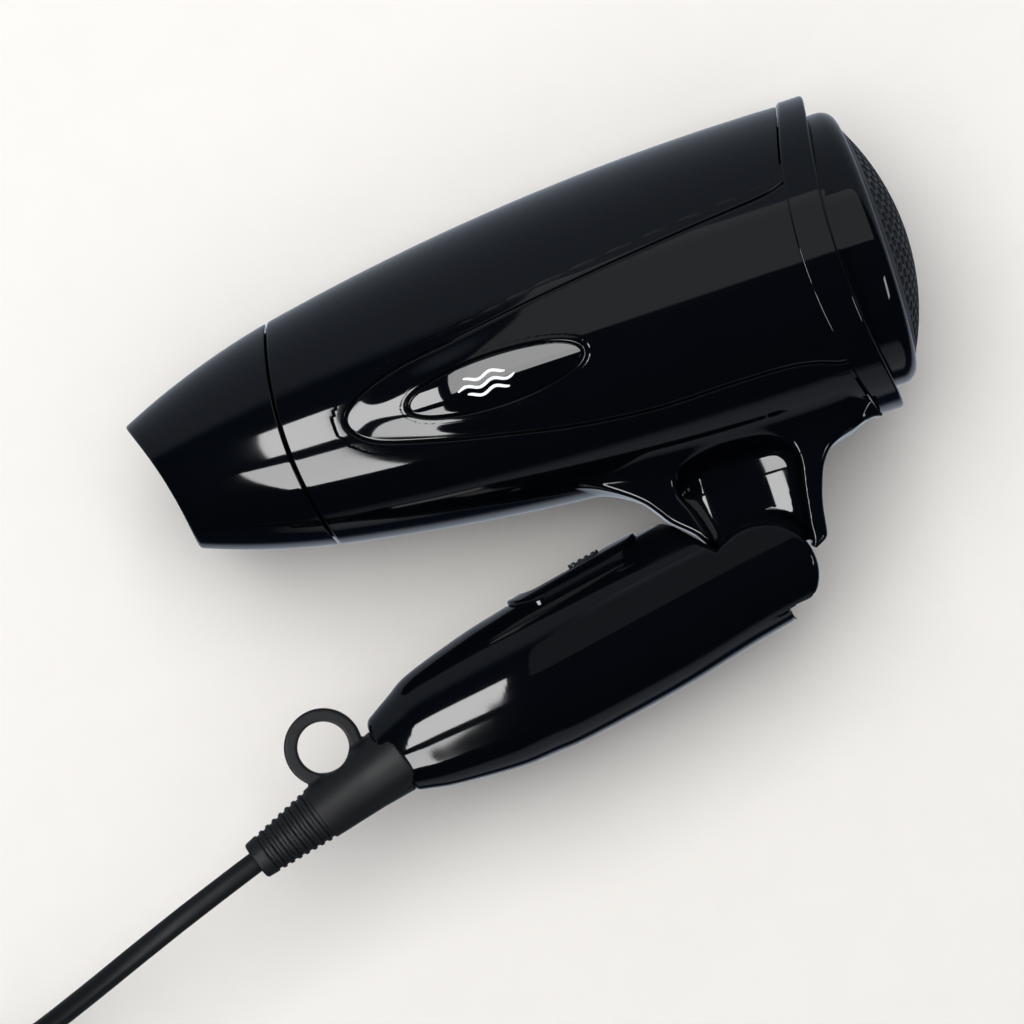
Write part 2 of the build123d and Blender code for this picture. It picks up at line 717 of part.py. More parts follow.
LOOP = Plane(origin=SIDE.from_local_coords((LOOP_AT[0], LOOP_AT[1], 0)), x_dir=RELIEF.x_dir, z_dir=(0, 0, 1))
with BuildSketch(LOOP) as loop_disc:
    Circle(LOOP_R)
with BuildSketch(LOOP) as loop_hole:
    Circle(LOOP_HOLE_R)

with BuildSketch(Plane(origin=RELIEF.origin, x_dir=RELIEF.y_dir, z_dir=RELIEF.x_dir)) as cord_way:
    Circle(CORD_D / 2)

with BuildPart() as strain_relief:
    revolve(relief_outline.sketch, axis=RELIEF_TURN)
    revolve(rib_grooves.sketch, axis=RELIEF_TURN, mode=Mode.SUBTRACT)
    extrude(loop_disc.sketch, amount=LOOP_HALF, both=True)
    extrude(loop_hole.sketch, amount=REACH, both=True, mode=Mode.SUBTRACT)
    extrude(cord_way.sketch, amount=RELIEF_LENGTH - CORD_HELD, mode=Mode.SUBTRACT)
    extrude(cord_way.sketch, amount=2 * RELIEF_TAIL, mode=Mode.SUBTRACT)
save(strain_relief.part, "strain_relief")

# The room that the relief takes in the handle's nose.
with BuildSketch(RELIEF) as nose_outline:
    with BuildLine():
        Polyline(
            (RELIEF_TAIL - 0.3, 0), (RELIEF_TAIL - 0.3, 8.5), (-4.3, 8.5), (-4.3, NECK_GROOVE_R + 0.1),
            (1.6, NECK_GROOVE_R + 0.1), (1.6, 14.0), (20.0, 14.0), (20.0, 0), close=True,
        )
    make_face()
with BuildPart() as nose_room:
    revolve(nose_outline.sketch, axis=RELIEF_TURN)

# ---- Handle shells --------------------------------------------------------------------------
HANDLE_SCREWS = ((24.0, 5.0), (72.0, 9.0), (90.0, -9.5))
SCREW_R = 1.4
SCREW_HEAD_R = 2.6
BOSS_R = 3.4
SCREW_HEAD_AT = -9.0   # underside of the screw heads, from the plane of symmetry
SCREW_HEAD = 2.0
SCREW_END = 8.0
CROSS_LENGTH = 3.2     # the cross in the screw heads
CROSS_WIDTH = 0.7
CROSS_DEPTH = 1.2

with BuildSketch(HANDLE) as boss_face:
    with Locations(*HANDLE_SCREWS):
        Circle(BOSS_R)
with BuildSketch(HANDLE) as screw_face:
    with Locations(*HANDLE_SCREWS):
        Circle(SCREW_R)
with BuildSketch(HANDLE.offset(SCREW_HEAD_AT)) as head_face:
    with Locations(*HANDLE_SCREWS):
        Circle(SCREW_HEAD_R)
with BuildSketch(HANDLE) as half_face:
    Rectangle(400, 400)

with BuildPart() as handle_bosses:
    extrude(boss_face.sketch, amount=REACH, both=True)
    add(handle_solid, mode=Mode.INTERSECT)

with BuildPart() as screw_ways:
    extrude(screw_face.sketch, amount=SCREW_END)
    extrude(screw_face.sketch, amount=SCREW_HEAD_AT)
    extrude(head_face.sketch, amount=-REACH)


def make_handle_half(name, direction):
    with BuildPart() as half:
        add(handle_solid)
        add(handle_hollow.part, mode=Mode.SUBTRACT)
        add(handle_bosses.part)
        extrude(handle_outline.sketch, amount=REACH, both=True, mode=Mode.INTERSECT)
        add(slot_room, mode=Mode.SUBTRACT)
        add(pin_seat, mode=Mode.SUBTRACT)
        extrude(plate_window.sketch, amount=PLATE_REACH, mode=Mode.SUBTRACT)
        add(nose_room.part, mode=Mode.SUBTRACT)
        add(screw_ways.part, mode=Mode.SUBTRACT)
        extrude(half_face.sketch, amount=direction * REACH, mode=Mode.INTERSECT)
    save(half.part, name)


make_handle_half("handle_shell_near", 1)
make_handle_half("handle_shell_far", -1)

with BuildPart() as handle_screws:
    extrude(screw_face.sketch, amount=SCREW_END - 0.5)
    extrude(screw_face.sketch, amount=SCREW_HEAD_AT)
    extrude(head_face.sketch, amount=-SCREW_HEAD)
    with BuildSketch(HANDLE.offset(SCREW_HEAD_AT - SCREW_HEAD)):
        with Locations(*HANDLE_SCREWS):
            Rectangle(CROSS_LENGTH, CROSS_WIDTH)
            Rectangle(CROSS_WIDTH, CROSS_LENGTH)
    extrude(amount=CROSS_DEPTH, mode=Mode.SUBTRACT)
save(handle_screws.part, "handle_screws")

with BuildPart() as hinge_pin:
    with BuildSketch(HANDLE):
        Circle(PIN_R)
        Circle(PIN_BORE, mode=Mode.SUBTRACT)
    extrude(amount=PIN_HALF, both=True)
save(hinge_pin.part, "hinge_pin")

# ---- Switch ---------------------------------------------------------------------------------
with BuildPart() as switch_plate:
    add(handle_skin)
    add(handle_under, mode=Mode.SUBTRACT)
    extrude(plate_face.sketch, amount=PLATE_REACH, mode=Mode.INTERSECT)
    extrude(tray_face.sketch, amount=PLATE_OUT + TRAY_FLOOR, mode=Mode.SUBTRACT)
    extrude(stem_way.sketch, amount=PLATE_REACH, mode=Mode.SUBTRACT)
save(switch_plate.part, "switch_plate")

KNOB = Plane(origin=SLIDE.from_local_coords((KNOB_AT, 0, 0)), x_dir=SLIDE.x_dir, z_dir=SLIDE.z_dir)
KNOB_SIZE = (8.6, 7.6)
KNOB_TOP = -1.9
KNOB_BOTTOM = -0.3
STEM_END = 4.6
with BuildPart() as switch_knob:
    with BuildSketch(KNOB.offset(KNOB_TOP)):
        RectangleRounded(*KNOB_SIZE, 1.6)
    extrude(amount=KNOB_BOTTOM - KNOB_TOP)
    with BuildSketch(KNOB.offset(KNOB_TOP)):
        with GridLocations(1.9, 0, 4, 1):
            Rectangle(0.8, 9.0)
    extrude(amount=0.6, mode=Mode.SUBTRACT)
    with BuildSketch(KNOB.offset(KNOB_BOTTOM)):
        Rectangle(4.0, 2.2)
    extrude(amount=STEM_END - KNOB_BOTTOM)
save(switch_knob.part, "switch_knob")

SWITCH_TOP = 3.3
with BuildPart() as switch_body:
    with BuildSketch(KNOB.offset(SWITCH_TOP)):
        with Locations((KNOB_TRAVEL / 2, 0)):
            Rectangle(27.0, 12.0)
    extrude(amount=11.0)
    with BuildSketch(KNOB.offset(SWITCH_TOP)):
        with Locations((KNOB_TRAVEL / 2, 0)):
            Rectangle(KNOB_TRAVEL + 5.2, 3.2)
    extrude(amount=3.0, mode=Mode.SUBTRACT)
save(switch_body.part, "switch_body")

with BuildPart() as cord_clamp:
    with BuildSketch(HANDLE):
        with Locations((84.0, 0.5)):
            Rectangle(7.0, 15.0)
    extrude(amount=5.0, both=True)
    with BuildSketch(Plane(origin=HANDLE.from_local_coords((70.0, 0.5, 0)), z_dir=HANDLE.x_dir)):
        Circle(CORD_D / 2)
    extrude(amount=30.0, mode=Mode.SUBTRACT)
save(cord_clamp.part, "cord_clamp")

lead("handle_leads", HANDLE,
     [[(80.2, 0.5, w), (66.0, 0.5, w), (62.0, -13.0, w), (58.8, -13.0, w)] for w in (-1.5, 1.5)], 2.0, LEAD_R)

# ---- Cord -----------------------------------------------------------------------------------
# Points of the cord's route: ahead of the collar seam, from the barrel axis, above the surface.
CORD_ROUTE = [
    (186.4, 99.6, AXIS_Z), (203.5, 105.4, 41.2), (221.2, 112.0, 36.2), (238.1, 118.6, 27.6),
    (255.0, 124.9, 18.0), (272.3, 130.6, 9.4), (290.4, 135.6, 4.2), (309.8, 139.8, 2.8),
]
TAIL_ROUTE = [
    (355.0, 89.4, 8.4), (348.7, 70.4, 8.8), (341.8, 51.6, 10.8), (334.6, 33.0, 12.9), (328.0, 15.9, 13.1),
]
COIL_AT = (318.0, 101.7)
COIL_OUTER = 39.0      # outermost and innermost turns, at the middle of the cord
COIL_INNER = 22.2
COIL_LAYERS = 2


def corner_radii(points):
    """Each corner's arc: 0.45 of the shorter run beside it, over the tangent of half its turn."""
    radii = []
    for before, corner, after in zip(points, points[1:], points[2:]):
        run_in = Vector(*corner) - Vector(*before)
        run_out = Vector(*after) - Vector(*corner)
        half_turn = radians(run_in.get_angle(run_out)) / 2
        radii.append(0.45 * min(run_in.length, run_out.length) / tan(half_turn))
    return radii


def cord_tube(name, route):
    points = [SIDE.from_local_coords((x, y, z - AXIS_Z)) for x, y, z in route]
    radii = corner_radii(route)
    with BuildPart() as tube:
        with BuildLine() as path:
            FilletPolyline(*points, radius=radii)
        with BuildSketch(Plane(origin=path.line @ 0, z_dir=path.line % 0)):
            Circle(CORD_D / 2)
        sweep()
    save(tube.part, name)


cord_tube("cord", CORD_ROUTE)
cord_tube("cord_tail", TAIL_ROUTE)

with BuildPart() as cord_coil:
    with BuildSketch(Plane(origin=SIDE.from_local_coords((*COIL_AT, -AXIS_Z)), z_dir=(0, 0, 1))):
        Circle(COIL_OUTER + CORD_D / 2)
        Circle(COIL_INNER - CORD_D / 2, mode=Mode.SUBTRACT)
    extrude(amount=COIL_LAYERS * CORD_D)
    fillet(cord_coil.edges().filter_by(GeomType.CIRCLE), CORD_D / 2 - 0.1)
save(cord_coil.part, "cord_coil")

# ---- Plug -----------------------------------------------------------------------------------
PLUG_WAY = Vector(*TAIL_ROUTE[-1]) - Vector(*TAIL_ROUTE[-2])
PLUG_DIR = Vector(PLUG_WAY.X, PLUG_WAY.Y, 0).normalized()
PLUG = Plane(
    origin=SIDE.from_local_coords((TAIL_ROUTE[-1][0], TAIL_ROUTE[-1][1], TAIL_ROUTE[-1][2] - AXIS_Z)),
    x_dir=Vector(-PLUG_DIR.Y, PLUG_DIR.X, 0),
    z_dir=PLUG_DIR,
)
PLUG_RELIEF = 22.0     # length of the plug's own strain relief
PLUG_SHOULDER = 36.0
PLUG_FACE = 56.0
PLUG_WIDTH = 35.3
PLUG_HEIGHT = 26.1
PIN_SPACING = 19.0
PLUG_PIN_R = 2.4
PLUG_PIN_LENGTH = 19.0
PLUG_PIN_ROOT_R = 1.9
PLUG_PIN_ROOT = 9.0
with BuildPart() as plug_body:
    for along, width, height, corner in (
        (0.0, 9.0, 9.0, 4.4), (PLUG_RELIEF, 13.0, 12.0, 5.5), (PLUG_SHOULDER, PLUG_WIDTH, PLUG_HEIGHT, 9.0),
    ):
        with BuildSketch(PLUG.offset(along)):
            RectangleRounded(width, height, corner)
    loft(ruled=True)
    with BuildSketch(PLUG.offset(PLUG_SHOULDER)):
        RectangleRounded(PLUG_WIDTH, PLUG_HEIGHT, 9.0)
    extrude(amount=PLUG_FACE - PLUG_SHOULDER)
    with BuildSketch(PLUG.offset(PLUG_FACE)):
        with GridLocations(PIN_SPACING, 0, 2, 1):
            Circle(PLUG_PIN_ROOT_R)
    extrude(amount=-PLUG_PIN_ROOT, mode=Mode.SUBTRACT)
save(plug_body.part, "plug_body")

with BuildPart() as plug_pins:
    with BuildSketch(PLUG.offset(PLUG_FACE)):
        with GridLocations(PIN_SPACING, 0, 2, 1):
            Circle(PLUG_PIN_R)
    extrude(amount=PLUG_PIN_LENGTH)
    chamfer(plug_pins.faces().group_by(Axis(PLUG.origin, PLUG.z_dir))[-1].edges(), 1.0)
    with BuildSketch(PLUG.offset(PLUG_FACE)):
        with GridLocations(PIN_SPACING, 0, 2, 1):
            Circle(PLUG_PIN_ROOT_R)
    extrude(amount=-PLUG_PIN_ROOT)
save(plug_pins.part, "plug_pins")
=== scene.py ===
import json
from math import atan2, cos, pi, radians, sin

import bpy
import numpy as np
import openvdb
from mathutils import Matrix, Vector


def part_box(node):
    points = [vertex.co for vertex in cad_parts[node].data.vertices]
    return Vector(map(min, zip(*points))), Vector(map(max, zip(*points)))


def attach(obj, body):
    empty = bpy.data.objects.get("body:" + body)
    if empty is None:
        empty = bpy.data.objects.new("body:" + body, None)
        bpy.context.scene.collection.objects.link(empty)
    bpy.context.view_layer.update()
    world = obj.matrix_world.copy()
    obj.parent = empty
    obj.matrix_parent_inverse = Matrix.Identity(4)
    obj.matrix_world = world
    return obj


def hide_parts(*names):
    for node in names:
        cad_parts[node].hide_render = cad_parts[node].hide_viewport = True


# The looks of a folding hair dryer that lies on its side.
# Shapes are drawn in millimetres on local places. SIDE is the dryer's plane of symmetry: its first
# axis runs along the barrel from the collar's joint to the outlet, its second from the barrel's axis
# to the handle, and its third is up. HANDLE, SLIDE, RELIEF and PLUG are turned places on it.

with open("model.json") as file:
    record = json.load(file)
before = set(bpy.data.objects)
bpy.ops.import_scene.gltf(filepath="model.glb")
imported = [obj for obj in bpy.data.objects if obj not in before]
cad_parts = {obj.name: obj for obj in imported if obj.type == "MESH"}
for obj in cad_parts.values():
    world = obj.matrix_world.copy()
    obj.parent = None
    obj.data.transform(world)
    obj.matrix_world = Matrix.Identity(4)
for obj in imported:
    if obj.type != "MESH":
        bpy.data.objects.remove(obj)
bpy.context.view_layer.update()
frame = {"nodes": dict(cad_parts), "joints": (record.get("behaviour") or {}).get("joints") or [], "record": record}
MM = 0.001


# ---- Places -----------------------------------------------------------------------------------
def place(origin, along, up=(0, 0, 1), parent=None):
    """A matrix from a local place, in millimetres, to its parent place."""
    along = Vector(along).normalized()
    up = Vector(up).normalized()
    matrix = Matrix((along, up.cross(along), up)).transposed().to_4x4()
    matrix.translation = origin
    return np.array(parent) @ np.array(matrix) if parent is not None else np.array(matrix)


CAP_LENGTH = 6.0       # the rear cap's front edge, ahead of the collar's joint
cap_low, cap_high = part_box("rear_cap")
ORIGIN = Vector((cap_high.x - CAP_LENGTH * MM, (cap_low.y + cap_high.y) / 2, (cap_low.z + cap_high.z) / 2))
SIDE = np.array(Matrix.Translation(ORIGIN) @ Matrix.Scale(MM, 4))
AXIS_Z = ORIGIN.z / MM

fold = [joint for joint in frame["joints"] if joint["name"] == "handle_fold"][0]
PIVOT = (Vector(fold["pos_m"]) - ORIGIN) / MM
FOLD_ANGLE = radians(7.4)
SLIDE_ANGLE = radians(3.1)
RELIEF_ANGLE = radians(18.3)
HANDLE = place(PIVOT, (cos(FOLD_ANGLE), sin(FOLD_ANGLE), 0), parent=SIDE)
SLIDE_AT = (42.7, -23.0)
SLIDE = place((*SLIDE_AT, 0), (cos(SLIDE_ANGLE), sin(SLIDE_ANGLE), 0), parent=HANDLE)
RELIEF_AT = (146.0, 86.2)
RELIEF = place((*RELIEF_AT, 0), (cos(RELIEF_ANGLE), sin(RELIEF_ANGLE), 0), parent=SIDE)


def in_frame(points, matrix):
    """Points of a local place, taken to the row frame."""
    points = np.asarray(points, float)
    return points @ matrix[:3, :3].T + matrix[:3, 3]


# ---- Camera -----------------------------------------------------------------------------------
CAMERA_HEIGHT = 1.5    # above the barrel's axis; it looks straight down
CAMERA_AT = Vector((0.01341, 0.00458, AXIS_Z * MM + CAMERA_HEIGHT))
CAMERA_TURN = radians(161.6)
camera_data = bpy.data.cameras.new("camera")
camera_data.lens = 207.2
camera_data.sensor_width = 36.0
camera_data.clip_start = 0.05
camera = bpy.data.objects.new("camera", camera_data)
camera.location = CAMERA_AT
camera.rotation_euler = (0, 0, CAMERA_TURN)
bpy.context.scene.collection.objects.link(camera)
bpy.context.scene.camera = camera


# ---- Meshes from rows and from fields ---------------------------------------------------------
def curve_through(points, spacing=1.0, closed=False):
    """Evenly spaced points along a smooth curve through the given ones."""
    points = np.asarray(points, float)
    if closed:
        padded = np.vstack([points[-1], points, points[0], points[1]])
    else:
        padded = np.vstack([2 * points[0] - points[1], points, 2 * points[-1] - points[-2]])
    fine = []
    for a, b, c, d in zip(padded, padded[1:], padded[2:], padded[3:]):
        t = np.linspace(0, 1, 24, endpoint=False)[:, None]
        fine.append(0.5 * (2 * b + (c - a) * t + (2 * a - 5 * b + 4 * c - d) * t ** 2
                           + (3 * b - a - 3 * c + d) * t ** 3))
    fine = np.vstack(fine + [points[:1] if closed else points[-1:]])
    run = np.concatenate([[0], np.cumsum(np.linalg.norm(np.diff(fine, axis=0), axis=1))])
    count = max(4, int(round(run[-1] / spacing)))
    at = np.linspace(0, run[-1], count, endpoint=not closed)
    return np.stack([np.interp(at, run, fine[:, k]) for k in range(fine.shape[1])], axis=1)


def circle_through(a, b, c):
    """The middle and the radius of the circle through three points of a plane."""
    a, b, c = (np.asarray(p, float) for p in (a, b, c))
    centre = np.linalg.solve(2 * np.array([b - a, c - a]), [b @ b - a @ a, c @ c - a @ a])
    return centre, np.linalg.norm(a - centre)


def arc_through(a, b, c, count):
    """Points of the circle's arc from a through b to c."""
    centre, radius = circle_through(a, b, c)
    angles = np.unwrap([atan2(*(np.asarray(p, float) - centre)[::-1]) for p in (a, b, c)])
    t = np.linspace(angles[0], angles[2], count)
    return centre + radius * np.stack([np.cos(t), np.sin(t)], axis=1)


def outward(points, faces, normals, matrix, axis):
    """Turns a part whose faces look towards its axis, a line along the local place's first axis."""
    local = np.linalg.inv(matrix)
    at = points @ local[:3, :3].T + local[:3, 3]
    away = np.stack([np.zeros(len(at)), at[:, 1] - axis[0], at[:, 2] - axis[1]], axis=1)
    if (normals * (away @ matrix[:3, :3].T)).sum() < 0:
        return faces[:, ::-1], -normals
    return faces, normals


def strip(rows, matrix=SIDE, closed=True, axis=(0, 0)):
    """A part from rows of points, each row joined to the next by quads."""
    rows = np.asarray(rows, float)
    count, length = rows.shape[:2]
    index = np.arange(count * length).reshape(count, length)
    if closed:
        index = np.hstack([index, index[:, :1]])
    corners = [index[:-1, :-1], index[:-1, 1:], index[1:, 1:], index[1:, :-1]]
    faces = np.stack(corners, axis=-1).reshape(-1, 4)
    points = in_frame(rows.reshape(-1, 3), matrix)
    corner = points[faces]
    face_normal = np.cross(corner[:, 2] - corner[:, 0], corner[:, 3] - corner[:, 1])
    normals = np.zeros_like(points)
    for k in range(4):
        np.add.at(normals, faces[:, k], face_normal)
    faces, normals = outward(points, faces, normals, matrix, axis)
    return points, faces, normals


def flipped(part):
    """A part with its faces looking the other way."""
    points, faces, normals = part
    return points, faces[:, ::-1], -normals


def gradient(field, points, step=0.04):
    """The field's slope at each point."""
    slopes = []
    for k in range(3):
        shift = np.zeros(3)
        shift[k] = step
        ahead = field(*(points + shift).T)
        behind = field(*(points - shift).T)
        slopes.append((ahead - behind) / (2 * step))
    return np.stack(slopes, axis=1)


def solid(field, low, high, pitch, matrix=SIDE, only=None):
    """A part whose surface is where a field of signed distances is zero, from cells of this pitch."""
    axes = [np.arange(a - 2 * pitch, b + 3 * pitch, pitch, dtype=np.float32) for a, b in zip(low, high)]
    band = 3 * pitch
    values = field(*np.meshgrid(*axes, indexing="ij", sparse=True))
    grid = openvdb.FloatGrid(band)
    grid.copyFromArray(np.ascontiguousarray(np.clip(values, -band, band), dtype=np.float32))
    points, _, faces = grid.convertToPolygons(isovalue=0.0, adaptivity=0.0)
    points = points.astype(float) * pitch + np.array([axis[0] for axis in axes], float)
    faces = faces.astype(int)
    for _ in range(5):
        slope = gradient(field, points)
        size = np.maximum((slope ** 2).sum(1), 0.05)
        move = np.clip(field(*points.T) / size, -pitch, pitch)
        points = points - slope * move[:, None]
    normals = gradient(field, points)
    if only is not None:
        faces = faces[only(*points[faces].mean(axis=1).T)]
        used = np.unique(faces)
        place_of = np.zeros(len(points), int)
        place_of[used] = np.arange(len(used))
        points, normals, faces = points[used], normals[used], place_of[faces]
    return in_frame(points, matrix), faces, normals @ matrix[:3, :3].T


# The pieces that the linked softboxes reach: each of those lights shows on one group alone.
LIT = {name: bpy.data.collections.new(name) for name in ("lit_badges", "lit_housing", "lit_others")}


def piece(name, parts, material, body, *nodes):
    """A shown piece made of parts, with each point's exact normal. It stands for the CAD nodes."""
    points, faces, normals, start = [], [], [], 0
    for part_points, part_faces, part_normals in parts:
        points.append(part_points)
        faces.append(part_faces + start)
        normals.append(part_normals / np.maximum(np.linalg.norm(part_normals, axis=1), 1e-12)[:, None])
        start += len(part_points)
    mesh = bpy.data.meshes.new(name)
    mesh.from_pydata(np.vstack(points).tolist(), [], np.vstack(faces).tolist())
    mesh.shade_smooth()
    mesh.normals_split_custom_set_from_vertices(np.vstack(normals).tolist())
    mesh.materials.append(MATERIALS[material])
    shape = bpy.data.objects.new(name, mesh)
    bpy.context.scene.collection.objects.link(shape)
    LIT["lit_housing" if body == "housing" else "lit_others"].objects.link(shape)
    if material == "badge_gloss":
        LIT["lit_badges"].objects.link(shape)
    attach(shape, body)
    if nodes:
        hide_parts(*nodes)
    return shape


# ---- Fields -----------------------------------------------------------------------------------
def meet(a, b, radius):
    """What two fields share, its edge rounded."""
    corner = np.hypot(np.maximum(a + radius, 0), np.maximum(b + radius, 0))
    return np.minimum(np.maximum(a, b), -radius) + corner


def join(a, b, radius):
    """Both fields together, with a fillet between them."""
    corner = np.hypot(np.maximum(radius - a, 0), np.maximum(radius - b, 0))
    return np.maximum(np.minimum(a, b), radius) - corner


def smooth(t):
    """0 to 1 as t goes from 0 to 1, level at both ends."""
    t = np.clip(t, 0, 1)
    return t * t * (3 - 2 * t)


class Outline:
    """The signed distance on a plane from a closed outline, kept as a table."""

    def __init__(self, points, pitch=0.3, margin=26.0):
        points = np.asarray(points, float)
        self.pitch = pitch
        self.low = points.min(axis=0) - margin
        axes = [np.arange(a, b, pitch) for a, b in zip(self.low, points.max(axis=0) + margin)]
        x, y = np.meshgrid(*axes, indexing="ij")
        nearest = np.full(x.shape, 1e9)
        inside = np.zeros(x.shape, bool)
        for (ax, ay), (bx, by) in zip(points, np.roll(points, -1, axis=0)):
            dx, dy = bx - ax, by - ay
            t = np.clip(((x - ax) * dx + (y - ay) * dy) / (dx * dx + dy * dy), 0, 1)
            nearest = np.minimum(nearest, (x - ax - t * dx) ** 2 + (y - ay - t * dy) ** 2)
            if dy:
                inside ^= ((ay > y) != (by > y)) & (x < ax + (y - ay) * dx / dy)
        self.table = np.where(inside, -1, 1) * np.sqrt(nearest)

    def __call__(self, x, y):
        x = np.clip((x - self.low[0]) / self.pitch, 0, self.table.shape[0] - 1.001)
        y = np.clip((y - self.low[1]) / self.pitch, 0, self.table.shape[1] - 1.001)
        x, y = np.broadcast_arrays(x, y)
        i, j = x.astype(int), y.astype(int)
        s, t = x - i, y - j
        near = self.table[i, j] * (1 - t) + self.table[i, j + 1] * t
        far = self.table[i + 1, j] * (1 - t) + self.table[i + 1, j + 1] * t
        return near * (1 - s) + far * s


# ---- Materials --------------------------------------------------------------------------------
def new_material(name):
    """A material, its nodes, its links and its shader."""
    material = bpy.data.materials.new(name)
    material.use_nodes = True
    nodes = material.node_tree.nodes
    return material, nodes, material.node_tree.links, nodes["Principled BSDF"]


def noise(nodes, links, scale, detail=4.0, stretch=(1, 1, 1)):
    """A noise over the object's own place, in the row frame's metres."""
    where = nodes.new("ShaderNodeTexCoord")
    mapping = nodes.new("ShaderNodeMapping")
    mapping.inputs["Scale"].default_value = stretch
    texture = nodes.new("ShaderNodeTexNoise")
    texture.inputs["Scale"].default_value = scale
    texture.inputs["Detail"].default_value = detail
    links.new(where.outputs["Object"], mapping.inputs["Vector"])
    links.new(mapping.outputs["Vector"], texture.inputs["Vector"])
    return texture.outputs["Fac"]


def ramp(nodes, links, value, low, high, start=0.35, end=0.65):
    """The value, taken to run from low to high."""
    scaled = nodes.new("ShaderNodeMapRange")
    scaled.inputs["From Min"].default_value = start
    scaled.inputs["From Max"].default_value = end
    scaled.inputs["To Min"].default_value = low
    scaled.inputs["To Max"].default_value = high
    links.new(value, scaled.inputs["Value"])
    return scaled.outputs["Result"]


def tint(nodes, links, value, dark, light):
    """A colour between two, by the value. The first may be a socket's."""
    mix = nodes.new("ShaderNodeMix")
    mix.data_type = "RGBA"
    if isinstance(dark, tuple):
        mix.inputs["A"].default_value = (*dark, 1)
    else:
        links.new(dark, mix.inputs["A"])
    mix.inputs["B"].default_value = (*light, 1)
    links.new(value, mix.inputs["Factor"])
    return mix.outputs["Result"]


def bump(nodes, links, height, distance, strength, after=None):
    """A normal raised by a height, over another normal or the surface's own."""
    node = nodes.new("ShaderNodeBump")
    node.inputs["Distance"].default_value = distance
    node.inputs["Strength"].default_value = strength
    links.new(height, node.inputs["Height"])
    if after is not None:
        links.new(after, node.inputs["Normal"])
    return node.outputs["Normal"]


def moulded(name, dark, light, rough, grain, grain_height, metallic=0.0, ior=1.33, coat=0.0, wave=0.0):
    """Moulded plastic, rubber or metal: mottled colour and gloss, a fine grain and a slow waviness."""
    material, nodes, links, shader = new_material(name)
    mottle = noise(nodes, links, 90.0)
    smudge = noise(nodes, links, 38.0, stretch=(1, 1.6, 1))
    fine = noise(nodes, links, grain, detail=2.0)
    links.new(tint(nodes, links, mottle, dark, light), shader.inputs["Base Color"])
    links.new(ramp(nodes, links, smudge, *rough), shader.inputs["Roughness"])
    normal = bump(nodes, links, fine, grain_height, 0.5)
    if wave:
        normal = bump(nodes, links, noise(nodes, links, 55.0, detail=1.0), wave, 0.6, after=normal)
    links.new(normal, shader.inputs["Normal"])
    shader.inputs["Metallic"].default_value = metallic
    shader.inputs["IOR"].default_value = ior
    shader.inputs["Coat Weight"].default_value = coat
    shader.inputs["Coat Roughness"].default_value = 0.03
    return material


MATERIALS = {
    "gloss_black": moulded("gloss_black", (0.0005, 0.0008, 0.0013), (0.0009, 0.0012, 0.0019),
                           (0.035, 0.075), 2600, 0.0000010, wave=0.00002),
    "badge_gloss": moulded("badge_gloss", (0.0004, 0.0006, 0.001), (0.0007, 0.001, 0.0015),
                           (0.02, 0.05), 2600, 0.0000006),
    "satin_black": moulded("satin_black", (0.0015, 0.002, 0.003), (0.003, 0.0036, 0.005),
                           (0.3, 0.42), 3800, 0.00001),
    "heat_black": moulded("heat_black", (0.003, 0.0035, 0.0045), (0.006, 0.007, 0.009),
                          (0.4, 0.56), 3000, 0.00002, ior=1.3),
    "rubber_black": moulded("rubber_black", (0.003, 0.0034, 0.004), (0.006, 0.0066, 0.0075),
                            (0.4, 0.54), 3200, 0.00003, ior=1.25),
    "steel": moulded("steel", (0.42, 0.42, 0.43), (0.56, 0.56, 0.57),
                     (0.2, 0.36), 1800, 0.00001, metallic=1.0),
    "plug_brass": moulded("plug_brass", (0.6, 0.54, 0.4), (0.72, 0.66, 0.5),
                          (0.18, 0.32), 1500, 0.00001, metallic=1.0),
    "mica": moulded("mica", (0.34, 0.28, 0.2), (0.5, 0.43, 0.33),
                    (0.3, 0.5), 700, 0.00003),
    "board": moulded("board", (0.02, 0.07, 0.03), (0.03, 0.1, 0.045),
                     (0.35, 0.5), 900, 0.00002),
    "wire_insulation": moulded("wire_insulation", (0.1, 0.1, 0.1), (0.16, 0.16, 0.16),
                               (0.35, 0.5), 1500, 0.00002),
    "white_print": moulded("white_print", (0.72, 0.73, 0.74), (0.84, 0.85, 0.86),
                           (0.4, 0.55), 2500, 0.00001),
}
for subpart in frame["record"]["subparts"]:
    node_materials = frame["nodes"][subpart["node"]].data.materials
    node_materials.clear()
    node_materials.append(MATERIALS[subpart["material_slot"]])

# ---- Cord -------------------------------------------------------------------------------------
CORD_D = 5.6
CORD_ROUTE = [
    (186.4, 99.6, AXIS_Z), (203.5, 105.4, 41.2), (221.2, 112.0, 36.2), (238.1, 118.6, 27.6),
    (255.0, 124.9, 18.0), (272.3, 130.6, 9.4), (290.4, 135.6, 4.2), (309.8, 139.8, 2.8),
]
TAIL_ROUTE = [
    (355.0, 89.4, 8.4), (348.7, 70.4, 8.8), (341.8, 51.6, 10.8), (334.6, 33.0, 12.9), (328.0, 15.9, 13.1),
]
COIL_AT = (318.0, 101.7)
COIL_START = 102.2     # where the first turn begins, in degrees about the coil's middle
COIL_TURNS = 7.335
TURN_POINTS = 16


def coil_place(turn):
    """The coil's radius and height after so many turns: in at the bottom, up, and out on top."""
    radius = np.interp(turn, (0, 3, 4, 7), (39.0, 22.2, 22.2, 39.0))
    height = np.interp(turn, (3, 4), (CORD_D / 2, 1.5 * CORD_D))
    return radius, height


coil = []
for step in range(1, round(COIL_TURNS * TURN_POINTS)):
    turn = step / TURN_POINTS
    angle = radians(COIL_START - 360 * turn)
    radius, height = coil_place(turn)
    coil.append((COIL_AT[0] + radius * cos(angle), COIL_AT[1] + radius * sin(angle), height))

